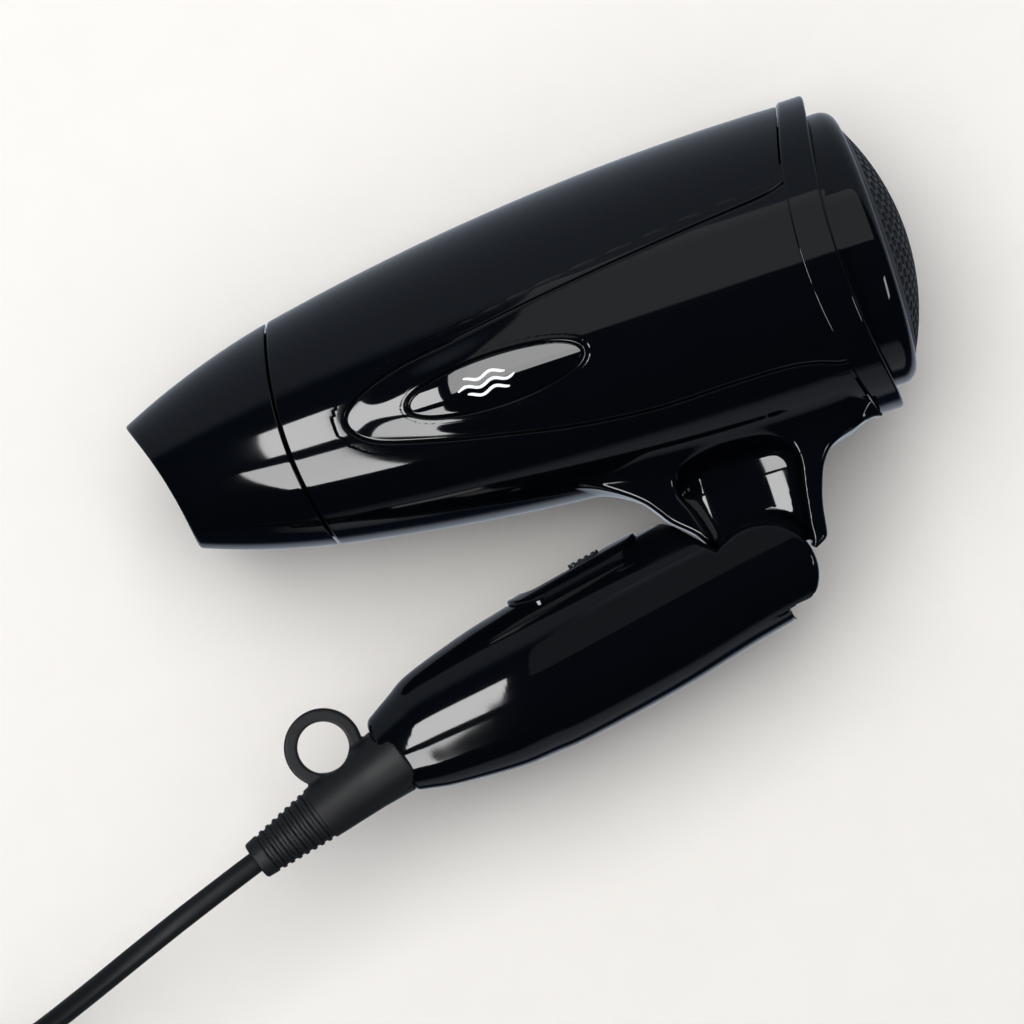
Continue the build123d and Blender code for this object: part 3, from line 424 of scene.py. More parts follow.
cord_curve = bpy.data.curves.new("mains_cord", "CURVE")
cord_curve.dimensions = "3D"
cord_curve.bevel_depth = CORD_D / 2 * MM
cord_curve.bevel_resolution = 6
cord_curve.resolution_u = 8
spline = cord_curve.splines.new("NURBS")
route = [(u, v, z - AXIS_Z) for u, v, z in CORD_ROUTE + coil + TAIL_ROUTE]
route = in_frame(route, SIDE)
spline.points.add(len(route) - 1)
for point, at in zip(spline.points, route):
    point.co = (*at, 1)
spline.order_u = 3
spline.use_endpoint_u = True
cord_curve.materials.append(MATERIALS["rubber_black"])
mains_cord = bpy.data.objects.new("mains_cord", cord_curve)
bpy.context.scene.collection.objects.link(mains_cord)
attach(mains_cord, "handle")
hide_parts("cord", "cord_coil", "cord_tail")

# ---- Floor and light --------------------------------------------------------------------------
FLOOR_HALF = 4
FLOOR_UNDER = 0.0001   # the floor lies this much below the part
floor_mesh = bpy.data.meshes.new("floor")
floor_corners = [(x * FLOOR_HALF, y * FLOOR_HALF, 0) for x, y in ((-1, -1), (1, -1), (1, 1), (-1, 1))]
floor_mesh.from_pydata(floor_corners, [], [(0, 1, 2, 3)])
floor = bpy.data.objects.new("floor", floor_mesh)
bpy.context.scene.collection.objects.link(floor)
floor.location.z = -FLOOR_UNDER
floor_mesh.materials.append(moulded("pale_paper", (0.815, 0.784, 0.74), (0.84, 0.808, 0.765),
                                    (0.7, 0.9), 900, 0.00003))
floor.visible_glossy = False


def softbox(name, near, far, height, power, diffuse=True, glossy=True, turn=0.0, shift=(0.0, 0.0)):
    """A level area light over the dryer. near and far are corners of its directions: along the barrel
    and towards the handle for each metre up. turn rotates it about its middle."""
    near, far = Vector(near), Vector(far)
    middle = (near + far) / 2 * height
    data = bpy.data.lights.new(name, "AREA")
    data.shape = "RECTANGLE"
    data.size, data.size_y = (abs(side) * height for side in far - near)
    data.energy = power
    lamp = bpy.data.objects.new(name, data)
    bpy.context.scene.collection.objects.link(lamp)
    lamp.location = (middle.x + shift[0], middle.y + shift[1], height)
    lamp.rotation_euler = (0, 0, radians(turn))
    lamp.visible_diffuse = diffuse
    lamp.visible_glossy = glossy
    return lamp


NOZZLE_SHIFT = (0.06, -0.03)
GLOW_FROM = radians(40.0)      # the studio glows beyond this angle from straight up, away from the handle
GLOW_EDGE = (-0.02, 0.2)       # where the glow starts and where it is full, as a height over that plane
GLOW_SIDE = (0.4, 0.45, 0.53)
DARK_SIDE = (0.015, 0.025, 0.045)
LOW_GLOW = radians(108.0)      # a lighter patch just under the horizon on the handle's side, from straight up
LOW_EDGE = (0.93, 0.965)       # cosines from the patch's middle, at its edge and where it is full
LOW_SIDE = (0.4, 0.43, 0.5)
scene = bpy.context.scene
scene.view_settings.view_transform = "Standard"
world = bpy.data.worlds.new("studio")
scene.world = world
world.use_nodes = True
sky = world.node_tree.nodes
sky_links = world.node_tree.links
sky_way = sky.new("ShaderNodeTexCoord")
sky_side = sky.new("ShaderNodeVectorMath")
sky_side.operation = "DOT_PRODUCT"
sky_side.inputs[1].default_value = (0, -cos(GLOW_FROM), -sin(GLOW_FROM))
sky_glow = sky.new("ShaderNodeMapRange")
sky_glow.interpolation_type = "SMOOTHSTEP"
sky_glow.inputs["From Min"].default_value = GLOW_EDGE[0]
sky_glow.inputs["From Max"].default_value = GLOW_EDGE[1]
sky_links.new(sky_way.outputs["Generated"], sky_side.inputs[0])
sky_links.new(sky_side.outputs["Value"], sky_glow.inputs["Value"])
sky_low = sky.new("ShaderNodeVectorMath")
sky_low.operation = "DOT_PRODUCT"
sky_low.inputs[1].default_value = (0, sin(LOW_GLOW), cos(LOW_GLOW))
sky_links.new(sky_way.outputs["Generated"], sky_low.inputs[0])
sky_light = tint(sky, sky_links, sky_glow.outputs["Result"], DARK_SIDE, GLOW_SIDE)
low_light = ramp(sky, sky_links, sky_low.outputs["Value"], 0.0, 1.0, *LOW_EDGE)
sky_links.new(tint(sky, sky_links, low_light, sky_light, LOW_SIDE), sky["Background"].inputs["Color"])
softbox("key", (-0.33, -0.8), (0.57, 0.1), 1.8, 33, glossy=False)
softbox("fill", (-0.9, -0.9), (0.9, 0.9), 1.6, 20, glossy=False)
softbox("upper_box", (0.38, -0.23), (0.60, 0.28), 2.0, 34, diffuse=False, shift=NOZZLE_SHIFT)
softbox("lower_box", (0.46, 0.46), (0.82, 1.5), 2.0, 95, diffuse=False, turn=-6, shift=NOZZLE_SHIFT)
housing_band = softbox("housing_band", (-1.2, -1.1), (0.2, -0.06), 2.0, 17, diffuse=False)
handle_band = softbox("handle_band", (-1.2, -1.1), (0.2, -0.06), 1.9, 5, diffuse=False)
softbox("rear_box", (-0.98, 0.6), (-0.62, 1.15), 2.0, 30, diffuse=False)
badge_box = softbox("badge_box", (-0.7, -0.9), (0.33, 0.12), 1.7, 130, diffuse=False)
badge_box.light_linking.receiver_collection = LIT["lit_badges"]
housing_band.light_linking.receiver_collection = LIT["lit_housing"]
handle_band.light_linking.receiver_collection = LIT["lit_others"]

# ---- Barrel -----------------------------------------------------------------------------------
BODY_R = 41.3          # the barrel's largest radius, at BODY_APEX
BODY_APEX = 20.0
BODY_CURVE = 632.0     # radius of the curve along it
WALL = 2.2
NOZZLE_SEAM = 140.7    # where each joint meets the outline, and how far it bows forward from there
NOZZLE_SWEEP = 4.2
COLLAR_R = 41.7
COLLAR_SWEEP = 9.0
COLLAR_BACK = -6.7
COLLAR_BACK_SWEEP = 6.3
SEAM_GAP = 0.28        # between shells
LIP_R = 0.45           # rounding of a shell's edge
ROUND = np.linspace(0, 2 * pi, 288, endpoint=False)


def body_r(u):
    """Barrel radius behind the nozzle's joint."""
    return BODY_R - BODY_CURVE + np.sqrt(BODY_CURVE ** 2 - (u - BODY_APEX) ** 2)


def bowed(chord, half, sweep, v):
    """A joint's place along the barrel: it bows forward by sweep at mid side."""
    curve = (half ** 2 + sweep ** 2) / (2 * sweep)
    return chord + sweep - (curve - np.sqrt(np.maximum(curve ** 2 - v ** 2, 0)))


def collar_front(v):
    """The collar's front edge, the barrel's joint."""
    return bowed(0.0, COLLAR_R, COLLAR_SWEEP, v)


def collar_back(v):
    """The collar's rear edge."""
    return bowed(COLLAR_BACK, COLLAR_R, COLLAR_BACK_SWEEP, v)


def nozzle_joint(v):
    """The joint between the barrel and the nozzle."""
    return bowed(NOZZLE_SEAM, body_r(NOZZLE_SEAM), NOZZLE_SWEEP, v)


def edge_round(radius, steps=6):
    """A quarter round: how far each point is before the edge, and below the skin."""
    t = np.linspace(0, pi / 2, steps)
    return [(radius * (1 - sin(a)), radius * (1 - cos(a))) for a in t]


def ring(u, rho, turn=ROUND):
    """A row of points round the barrel's axis."""
    return np.stack([u + 0 * turn, rho * np.sin(turn), rho * np.cos(turn)], axis=1)


def barrel_rows(count):
    """Rows round the barrel's shell: its inside, its rear edge, its skin and its front edge."""
    lip = edge_round(LIP_R)
    stations = [(0, 6.0, WALL), (0, 0.0, WALL)] + [(0, at, down) for at, down in reversed(lip)]
    stations += [(t, None, 0.0) for t in np.linspace(0, 1, count)[1:-1]]
    stations += [(1, at, down) for at, down in lip] + [(1, 0.0, WALL), (1, 6.0, WALL)]
    rows = []
    for end, inset, down in stations:
        u = np.zeros_like(ROUND)
        for _ in range(12):
            v = (body_r(u) - down) * np.sin(ROUND)
            rear = collar_front(v) + SEAM_GAP
            front = nozzle_joint(v) - SEAM_GAP
            if inset is None:
                u = rear + LIP_R + (front - rear - 2 * LIP_R) * end
            elif end == 0:
                u = rear + inset
            else:
                u = front - inset
        rows.append(ring(u, body_r(u) - down))
    return rows


# The side panel's outline on the plane of symmetry: along its handle side to the collar, back along its
# other side, and round its front end.
TEARDROP = curve_through(
    [(54.0, 22.4), (36.0, 22.5), (20.8, 22.9), (12.8, 24.2), (6.0, 26.2), (3.0, 23.6), (3.6, 14.0),
     (3.6, -10.0), (2.6, -18.6), (5.2, -20.6), (12.8, -18.8), (31.3, -17.1), (54.0, -14.8), (76.0, -12.2),
     (96.0, -9.4), (112.0, -7.2), (124.0, -3.2), (128.7, 1.8), (124.0, 7.8), (110.0, 12.4), (94.0, 16.2),
     (74.0, 20.2)], 0.9, closed=True)
BADGE_AT = np.array([90.3, 3.2])
BADGE_SIZE = np.array([45.0, 12.0])
LENS_DOME = 0.75       # the badge's rise to its middle, and how far its edge lies under the panel's skin
LENS_SUNK = 0.15
MARK_AT = np.array([92.5, 3.2])
badge_turn = np.linspace(0, 2 * pi, 220, endpoint=False)
BADGE = BADGE_AT + np.stack([np.cos(badge_turn), np.sin(badge_turn)], axis=1) * BADGE_SIZE / 2


def moved_out(outline, by):
    """A closed outline on a plane, moved out by a distance."""
    along = np.roll(outline, -1, axis=0) - np.roll(outline, 1, axis=0)
    normal = np.stack([along[:, 1], -along[:, 0]], axis=1) / np.linalg.norm(along, axis=1)[:, None]
    area = (outline[:, 0] * np.roll(outline[:, 1], -1) - np.roll(outline[:, 0], -1) * outline[:, 1]).sum()
    return outline + normal * by * np.sign(area)


def pod(flat):
    """How far the side panel swells round the badge. It is level with the barrel at its edge."""
    swell = np.exp(-((flat[:, 0] - POD_AT) / POD_REACH) ** 2)
    return POD_HEIGHT * swell * smooth(-panel_area(flat[:, 0], flat[:, 1]) / POD_FADE)


def on_skin(flat, lift, side, swollen=False):
    """Points of the plane of symmetry, lifted to the barrel's skin on one side."""
    rho = body_r(flat[:, 0]) + lift + (pod(flat) if swollen else 0)
    height = np.sqrt(np.maximum(rho ** 2 - flat[:, 1] ** 2, 0))
    return np.stack([flat[:, 0], flat[:, 1], side * height], axis=1)


def band(outline, profile, side, swollen=False):
    """A strip that follows an outline on the skin: the profile gives its places out and up."""
    return strip([on_skin(moved_out(outline, out), up, side, swollen) for out, up in profile])


SEAT_OUT = 0.42        # the side panel's seat, out from the panel
SEAT_DEPTH = 1.0
SEAT_ROUND = 0.55
DENT_OUT = 1.3         # the barrel's rows are sunk this far out from the panel, over a run of DENT_RUN
DENT_RUN = 1.2
DENT_DEPTH = 1.3
PANEL_LIFT = 0.3       # the panel's skin, above the barrel's
PANEL_ROUND = 0.45
POD_AT = 102.0         # where the side panel stands highest, round the badge's front end
POD_HEIGHT = 1.3
POD_REACH = 18.0
POD_FADE = 7.0         # it dies out over this width at the panel's edge
panel_area = Outline(TEARDROP, margin=6.0)
badge_area = Outline(BADGE, margin=6.0)


def dented(rows, area):
    """Rows on the skin, sunk under a panel's seat so that the band round the seat covers the step."""
    out = []
    for row in rows:
        u, v, w = row.T
        rho = np.hypot(v, w)
        share = smooth((DENT_OUT + DENT_RUN - area(u, v)) / DENT_RUN)
        on_a_side = (np.abs(w) > 5) * (rho > body_r(u) - 1)
        depth = DENT_DEPTH * share * on_a_side
        scale = (rho - depth) / rho
        out.append(np.stack([u, v * scale, w * scale], axis=1))
    return out


# The seat's band, from its outer edge on the barrel's skin, over the rounded edge and under the panel.
SEAT_PROFILE = [(5.0, -0.02), (4.0, -0.008), (3.0, -0.001), (2.4, 0.0), (1.6, 0.0)]
SEAT_PROFILE += [(SEAT_OUT + at, -down) for at, down in edge_round(SEAT_ROUND)]
SEAT_PROFILE += [(SEAT_OUT, -SEAT_DEPTH), (-1.6, -SEAT_DEPTH)]
barrel_parts = [strip(dented(barrel_rows(150), panel_area))]
barrel_parts += [band(TEARDROP, SEAT_PROFILE, side) for side in (1, -1)]
lining = strip([ring(u, body_r(u) - WALL) for u in np.linspace(8.0, NOZZLE_SEAM, 12)])
barrel_parts.append(flipped(lining))

# ---- Neck -------------------------------------------------------------------------------------
# Outlines on the plane of symmetry, from the collar's side round the pivot to the front.
NECK_OUTLINE = Outline(curve_through(
    [(-2.0, 41.2), (3.0, 41.7), (8.6, 42.6), (14.5, 45.0), (18.0, 48.8), (20.2, 53.9), (21.6, 58.6),
     (22.3, 62.6), (22.9, 65.8), (24.2, 67.3), (30.0, 69.6), (41.6, 71.7), (46.0, 67.0), (50.4, 60.6),
     (55.0, 55.2), (59.4, 51.0), (61.8, 47.6), (64.4, 44.2), (68.4, 40.8), (74.0, 37.2), (82.0, 33.0),
     (80.0, 28.0), (60.0, 26.0), (-2.0, 28.0)], 0.8, closed=True))
POCKET_OUTLINE = Outline(curve_through(
    [(41.6, 76.0), (50.6, 65.0), (51.4, 58.0), (53.3, 50.1), (55.6, 43.6), (54.4, 38.6), (48.0, 35.6),
     (40.0, 34.8), (30.0, 36.2), (24.6, 40.4), (23.8, 46.0), (25.2, 53.5), (26.6, 62.0), (27.6, 68.0),
     (33.0, 76.0)], 0.6, closed=True))
TONGUE_OUTLINE = Outline(curve_through(
    [(26.0, 34.0), (55.0, 34.0), (54.0, 44.0), (52.0, 54.0), (50.3, 62.0), (52.0, 69.0), (48.0, 79.0),
     (40.0, 82.0), (32.0, 78.0), (28.4, 69.0), (26.4, 60.0), (24.0, 48.0)], 0.6, closed=True))
NECK_HALF = 17.0
TONGUE_HALF = 9.0      # half the tongue's thickness at the pivot
TONGUE_ROOT = 12.8     # and at the barrel
CHEEK_R = 14.3         # the handle's cheeks turn within this radius
CHEEK_ROOM = 0.6
TONGUE_R = 9.7
FLOOR_TURN = 43.3      # where the pocket's floor is level: it rises towards the collar
FLOOR_RISE_R = 45.0
FLOOR_FALL_R = 25.0    # and falls towards the front


def neck_field(u, v, w):
    """The barrel with its neck: two ribs, the pocket between them and the tongue in its floor."""
    half = np.abs(w)
    from_pivot = np.hypot(u - PIVOT.x, v - PIVOT.y)
    skin = np.hypot(v, w) - body_r(u)
    ribs = meet(NECK_OUTLINE(u, v), half - NECK_HALF, 1.5)
    ribs = meet(ribs, -POCKET_OUTLINE(u, v), 1.1)
    ribs = meet(ribs, CHEEK_R + CHEEK_ROOM - from_pivot, 0.5)
    clear_of_cheeks = smooth((from_pivot - CHEEK_R - 0.9) / 3.0)
    rise = np.maximum(FLOOR_TURN - u, 0) ** 2 / (2 * FLOOR_RISE_R) * clear_of_cheeks
    fall = np.maximum(u - FLOOR_TURN, 0) ** 2 / (2 * FLOOR_FALL_R)
    floor_half = TONGUE_HALF - 0.05 + (TONGUE_ROOT - TONGUE_HALF) * smooth((48.0 - v) / 12.0) + rise - fall
    tongue = np.minimum(TONGUE_OUTLINE(u, v), from_pivot - TONGUE_R)
    tongue = np.maximum(tongue, np.where(v > 66, from_pivot - TONGUE_R, -50.0))
    tongue = meet(tongue, half - floor_half, 0.8)
    fillet = 0.5 + 7.0 * smooth((82.0 - u) / 24.0) * smooth((u - 1.0) / 8.0)
    body = join(skin, ribs, fillet)
    body = join(body, tongue, 3.2)
    return np.maximum(body, collar_front(v) + SEAM_GAP - u)


def neck_shown(u, v, w):
    """The neck's own skin: where it stands clear of the barrel's."""
    return (v > 5) & (np.hypot(v, w) > body_r(u) + 0.004) & (u > collar_front(v) + SEAM_GAP + 0.05)


barrel_parts.append(solid(neck_field, (0, 14, -30), (104, 88, 30), 0.55, only=neck_shown))
piece("barrel_and_neck", barrel_parts, "gloss_black", "housing", "barrel_shell")

# ---- Nozzle -----------------------------------------------------------------------------------
NOZZLE_ARC = ((NOZZLE_SEAM, body_r(NOZZLE_SEAM)), (163.0, 23.7), (184.0, 15.4))
MOUTH_ARC = ((183.1, -15.6), (177.0, 1.4), (174.8, 16.7))
nozzle_centre, nozzle_curve = circle_through(*NOZZLE_ARC)
mouth_centre, mouth_curve = circle_through(*MOUTH_ARC)


def nozzle_r(u):
    """Nozzle radius ahead of its joint."""
    reach = np.sqrt(np.maximum(nozzle_curve ** 2 - (u - nozzle_centre[0]) ** 2, 0))
    return nozzle_centre[1] + reach * np.sign(NOZZLE_ARC[1][1] - nozzle_centre[1])


def mouth(v):
    """The slanted outlet's place along the barrel."""
    reach = np.sqrt(np.maximum(mouth_curve ** 2 - (v - mouth_centre[1]) ** 2, 0))
    return mouth_centre[0] - reach


def nozzle_row(share, inset, down):
    """A row round the nozzle, from its joint at share 0 to its mouth at 1."""
    u = np.full_like(ROUND, 165.0)
    for _ in range(30):
        rho = nozzle_r(u) - down
        rear = nozzle_joint(rho * np.sin(ROUND)) + SEAM_GAP
        front = mouth(rho * np.sin(ROUND))
        u = rear + (front - rear) * share + inset
    return ring(u, nozzle_r(u) - down)


nozzle_rows = [nozzle_row(0, 5.0, WALL), nozzle_row(0, 0, WALL)]
nozzle_rows += [nozzle_row(0, at, down) for at, down in reversed(edge_round(LIP_R))]
nozzle_rows += [nozzle_row(t, LIP_R * (1 - t) - 0.8 * t, 0.0) for t in np.linspace(0, 1, 44)[1:-1]]
nozzle_rows += [nozzle_row(1, -at, down) for at, down in edge_round(0.8, 7)]
nozzle_rows += [nozzle_row(1, -at, WALL - down) for at, down in reversed(edge_round(0.5))]
nozzle_rows += [nozzle_row(t, -0.5 * t, WALL) for t in np.linspace(1, 0, 24)[1:]]
nozzle_rows.append(nozzle_row(0, -9.0, WALL + 0.3))
piece("nozzle", [strip(nozzle_rows)], "gloss_black", "housing", "nozzle_shell")

# ---- Collar, cap and inlet grille -------------------------------------------------------------
COLLAR_BORE = 36.4


def collar_row(front, inset, rho):
    """A row round the collar at its front or its rear edge."""
    v = rho * np.sin(ROUND)
    return ring(collar_front(v) - inset if front else collar_back(v) + inset, rho)


collar_rows = [collar_row(False, 0.0, COLLAR_BORE)]
collar_rows += [collar_row(False, at, COLLAR_R - down) for at, down in reversed(edge_round(1.0))]
collar_rows += [collar_row(True, at, COLLAR_R - down) for at, down in edge_round(0.7)]
collar_rows += [collar_row(True, 0.0, 38.0), collar_row(False, 0.0, 38.0)]
piece("collar", [strip(collar_rows)], "gloss_black", "housing", "rear_collar")


def turned(profile, count=240):
    """A part turned about the barrel's axis from places along it and radii."""
    turn = np.linspace(0, 2 * pi, count, endpoint=False)
    return strip([ring(u, rho, turn) for u, rho in profile])


CAP_R = 36.2
CAP_BORE = 34.2
CAP_RIM_R = 32.4
SHOULDER_AT = -8.4     # where the cap starts to round off, and the length it takes
SHOULDER_RUN = 4.2
cap_profile = [(CAP_LENGTH, CAP_BORE), (CAP_LENGTH, CAP_R), (1.0, CAP_R), (SHOULDER_AT, CAP_R)]
for t in np.linspace(0.05, pi / 2, 22):
    cap_profile.append((SHOULDER_AT - SHOULDER_RUN * sin(t), CAP_RIM_R + (CAP_R - CAP_RIM_R) * cos(t)))
cap_profile += [(-12.5, 32.0), (-12.1, 31.7), (-10.5, 31.6), (-9.0, 31.6)]
cap_profile += [(-9.0, CAP_BORE), (CAP_LENGTH, CAP_BORE)]
piece("cap_ring", [turned(cap_profile)], "gloss_black", "housing", "rear_cap")

DOME_R = 31.9
DOME_HEIGHT = 8.6
DOME_RIM = -12.3
CELL_PITCH = 3.3
HOLE_R = 1.16
CELL_DEPTH = 1.5
DOME_CURVE = (DOME_R ** 2 + DOME_HEIGHT ** 2) / (2 * DOME_HEIGHT)


def dome(flat, sunk):
    """Points of the plane square to the barrel, taken to the grille's dome."""
    rho = np.hypot(flat[:, 0], flat[:, 1])
    curve = DOME_CURVE - sunk
    u = DOME_RIM - DOME_HEIGHT + DOME_CURVE - np.sqrt(np.maximum(curve ** 2 - rho ** 2, 1))
    return np.stack([u, flat[:, 0], flat[:, 1]], axis=1)


def honeycomb():
    """Six-sided cells with a round-cornered hole in each, open through the dome."""
    parts = []
    step = 12
    turn = np.arange(step) * 2 * pi / step
    hexagon = CELL_PITCH / 2 / np.cos((turn + pi / 6) % (pi / 3) - pi / 6)
    reach = int(DOME_R / CELL_PITCH) + 2
    for i in range(-reach, reach + 1):
        for j in range(-reach, reach + 1):
            centre = np.array([CELL_PITCH * (i + j / 2), CELL_PITCH * sin(pi / 3) * j])
            if np.hypot(*centre) > DOME_R - 2.2:
                continue
            spoke = np.stack([np.cos(turn), np.sin(turn)], axis=1)
            outer = centre + spoke * hexagon[:, None]
            mid = centre + spoke * (HOLE_R + 0.22)
            hole = centre + spoke * HOLE_R
            rows = [dome(outer, 0.0), dome(mid, 0.03), dome(hole, 0.22), dome(hole, CELL_DEPTH)]
            part = strip(rows)
            looks_back = part[2][:step, 0].sum() < 0
            parts.append(part if looks_back else flipped(part))
    return parts


dome_turn = np.linspace(0, 2 * pi, 240, endpoint=False)
rim_flat = np.stack([np.cos(dome_turn), np.sin(dome_turn)], axis=1)
# The rim's rows: how far in from the dome's edge, and how deep.
RIM_PROFILE = ((0.0, CELL_DEPTH), (0.0, 0.0), (0.5, -0.1), (2.6, -0.02), (3.2, 0.15))
rim = strip([dome(rim_flat * (DOME_R - inward), sunk) for inward, sunk in RIM_PROFILE])
piece("honeycomb_grille", honeycomb() + [rim], "heat_black", "housing", "inlet_grille")

# ---- Side panels and badges -------------------------------------------------------------------
PANEL_SPINE = ((14.0, 3.6), (112.0, 2.6))
PANEL_EDGE = [(0.0, -0.9), (0.0, -0.3)]
PANEL_EDGE += [(-at, PANEL_LIFT - down) for at, down in reversed(edge_round(PANEL_ROUND))]
# The badge's recess: how far out from the badge, and how deep under the panel's skin.
RECESS = ((3.2, 0.012), (2.5, 0.004), (1.9, 0.0), (1.5, 0.0), (1.0, 0.01), (0.8, 0.06), (0.66, 0.16),
          (0.2, 0.62), (0.2, 0.9 + PANEL_LIFT))


def shrunk(outline, spine, share):
    """An outline drawn in towards a spine line."""
    (a, ya), (b, yb) = spine
    near = np.clip(outline[:, 0], a, b)
    base = np.stack([near, ya + (yb - ya) * (near - a) / (b - a)], axis=1)
    return base + (outline - base) * share


def panel_parts(side):
    """The side panel with the recess for the badge."""
    rows = [on_skin(moved_out(TEARDROP, out), up, side) for out, up in PANEL_EDGE]
    inner = moved_out(TEARDROP, -0.6)
    flats = [shrunk(inner, PANEL_SPINE, share) for share in np.linspace(1, 0.0, 30)]
    sunk = [1.1 * smooth((1.6 - badge_area(flat[:, 0], flat[:, 1])) / 0.9) for flat in flats]
    rows += [on_skin(flat, PANEL_LIFT - depth, side, True) for flat, depth in zip(flats, sunk)]
    recess = [(out, PANEL_LIFT - down) for out, down in RECESS]
    return [strip(rows), band(BADGE, recess, side, True)]


def lens_lift(flat):
    """The badge's lens, domed towards its middle."""
    share = (((flat - BADGE_AT) / (BADGE_SIZE / 2)) ** 2).sum(axis=1)
    return PANEL_LIFT - LENS_SUNK + LENS_DOME * (1 - share)


def badge_parts(side):
    """The oval badge, a domed lens on a straight edge."""
    spine = (tuple(BADGE_AT - (16.0, 0)), tuple(BADGE_AT + (16.0, 0)))
    rows = [on_skin(BADGE, up, side, True) for up in (-0.9, -0.25)]
    rows += [on_skin(moved_out(BADGE, -at), PANEL_LIFT - LENS_SUNK - down, side, True)
             for at, down in reversed(edge_round(0.22))]
    inner = moved_out(BADGE, -0.3)
    flats = [shrunk(inner, spine, share) for share in np.linspace(0.99, 0, 18)]
    rows += [on_skin(flat, lens_lift(flat), side, True) for flat in flats]
    return [strip(rows)]


for side, word in ((1, "near"), (-1, "far")):
    piece(f"side_inlay_{word}", panel_parts(side), "gloss_black", "housing", f"side_panel_{word}")
    piece(f"badge_lens_{word}", badge_parts(side), "badge_gloss", "housing", f"badge_{word}")

# ---- Handle -----------------------------------------------------------------------------------
# Places along the handle from the pivot, the outline on the far and the barrel side, half depth.
HANDLE_SECTIONS = curve_through(
    [(-18.0, 12.6, -23.4, 16.4), (5.0, 13.9, -23.8, 17.0), (30.0, 16.4, -23.6, 17.2),
     (56.0, 17.6, -22.2, 17.0), (66.0, 17.3, -21.4, 16.5), (76.0, 16.6, -20.2, 14.8),
     (92.0, 13.6, -17.2, 11.5), (99.0, 11.6, -14.3, 9.9), (107.5, 8.8, -10.4, 7.4)], 1.0)
SLOT_HALF = 9.4
CLOSED_FROM = -3.0     # the hinge's slot has a wall on its outer side from here on
HANDLE_SPLIT = 0.07    # half the groove between the handle's halves
SCREWS = ((24.0, 5.0), (72.0, 9.0), (90.0, -9.5))
SCREW_WAY_R = 2.8
SCREW_HEAD_AT = -9.0
PLATE_SIZE = (37.0, 19.0)
PLATE_PROUD = 0.9
TRAY_AT = 2.1
TRAY_SIZE = (24.0, 8.6)
nose = arc_through((102.9, 9.4), (106.2, -0.5), (106.8, -10.6), 12)
round_end = arc_through((7.7, -11.9), (-14.2, -0.6), (-3.3, 13.4), 40)
far_corners = [(-3.3, 40.0), (100.0, 40.0)]
barrel_corners = [(106.8, -40.0), (26.0, -40.0), (15.5, -23.0)]
HANDLE_OUTLINE = Outline(np.vstack([round_end, far_corners, nose, barrel_corners]), margin=8.0)


def section(x):
    """The handle's middle, half width and half depth at a place along it."""
    outer, inner, half = (np.interp(x, HANDLE_SECTIONS[:, 0], HANDLE_SECTIONS[:, k]) for k in (1, 2, 3))
    return (outer + inner) / 2, (outer - inner) / 2, half


def handle_skin(x, y, z, inset=0.0):
    """Distance from the handle's long oval shape, moved in by inset."""
    middle, width, depth = section(x)
    width, depth = width - inset, depth - inset
    return (np.sqrt(((y - middle) / width) ** 2 + (z / depth) ** 2) - 1) * np.minimum(width, depth)


def turned_to(x, y, origin, angle):
    """A point of a plane, seen from a place turned on it."""
    x, y = x - origin[0], y - origin[1]
    return x * cos(angle) + y * sin(angle), y * cos(angle) - x * sin(angle)


def turned_from(x, y, origin, angle):
    """The way back from a place turned on a plane."""
    return origin[0] + x * cos(angle) - y * sin(angle), origin[1] + x * sin(angle) + y * cos(angle)


def oval(x, z, size):
    """Distance from a long slot shape on a plane."""
    radius = size[1] / 2
    reach = size[0] / 2 - radius
    return np.hypot(np.maximum(np.abs(x) - reach, 0), z) - radius


RELIEF_IN_HANDLE = turned_to(*RELIEF_AT, (PIVOT.x, PIVOT.y), FOLD_ANGLE)


def handle_field(x, y, z):
    """The handle: an oval skin cut by its outline, with the hinge's slot, the switch's window, the
    relief's seat, the screws' ways and a hollow."""
    from_pivot = np.hypot(x, y)
    body = meet(handle_skin(x, y, z), HANDLE_OUTLINE(x, y), 1.3)
    slot_r = np.where((x > CLOSED_FROM) & (y > 0), TONGUE_R + CHEEK_ROOM, CHEEK_R + CHEEK_ROOM)
    slot = np.maximum(from_pivot - slot_r, np.abs(z) - SLOT_HALF)
    body = meet(body, -slot, 0.4)
    sx, sy = turned_to(x, y, SLIDE_AT, SLIDE_ANGLE)
    window_size = (PLATE_SIZE[0] + 0.6, PLATE_SIZE[1] + 0.6)
    window = np.maximum(oval(sx, z, window_size), sy - 12.0)
    body = meet(body, -window, 0.3)
    rx, ry = turned_to(x, y, RELIEF_IN_HANDLE, RELIEF_ANGLE - FOLD_ANGLE)
    rho = np.hypot(ry, z)
    room = np.minimum(rho - 7.3, np.maximum(rho - 14.0, 1.7 - rx))
    body = meet(body, -room, 0.5)
    for at in SCREWS:
        way = np.maximum(np.hypot(x - at[0], y - at[1]) - SCREW_WAY_R, z - SCREW_HEAD_AT)
        body = meet(body, -way, 0.3)
    hollow = np.maximum(handle_skin(x, y, z, WALL), np.maximum(18.5 - x, x - 103.4))
    return np.maximum(body, -hollow)


for side, word in ((1, "near"), (-1, "far")):
    def half_field(x, y, z, side=side):
        return meet(handle_field(x, y, z), HANDLE_SPLIT - side * z, 0.25)

    low, high = ((-16, -26, 0), (109, 20, 18)) if side > 0 else ((-16, -26, -18), (109, 20, 0))
    piece(f"handle_{word}", [solid(half_field, low, high, 0.55, HANDLE)], "gloss_black", "handle",
          f"handle_shell_{word}")


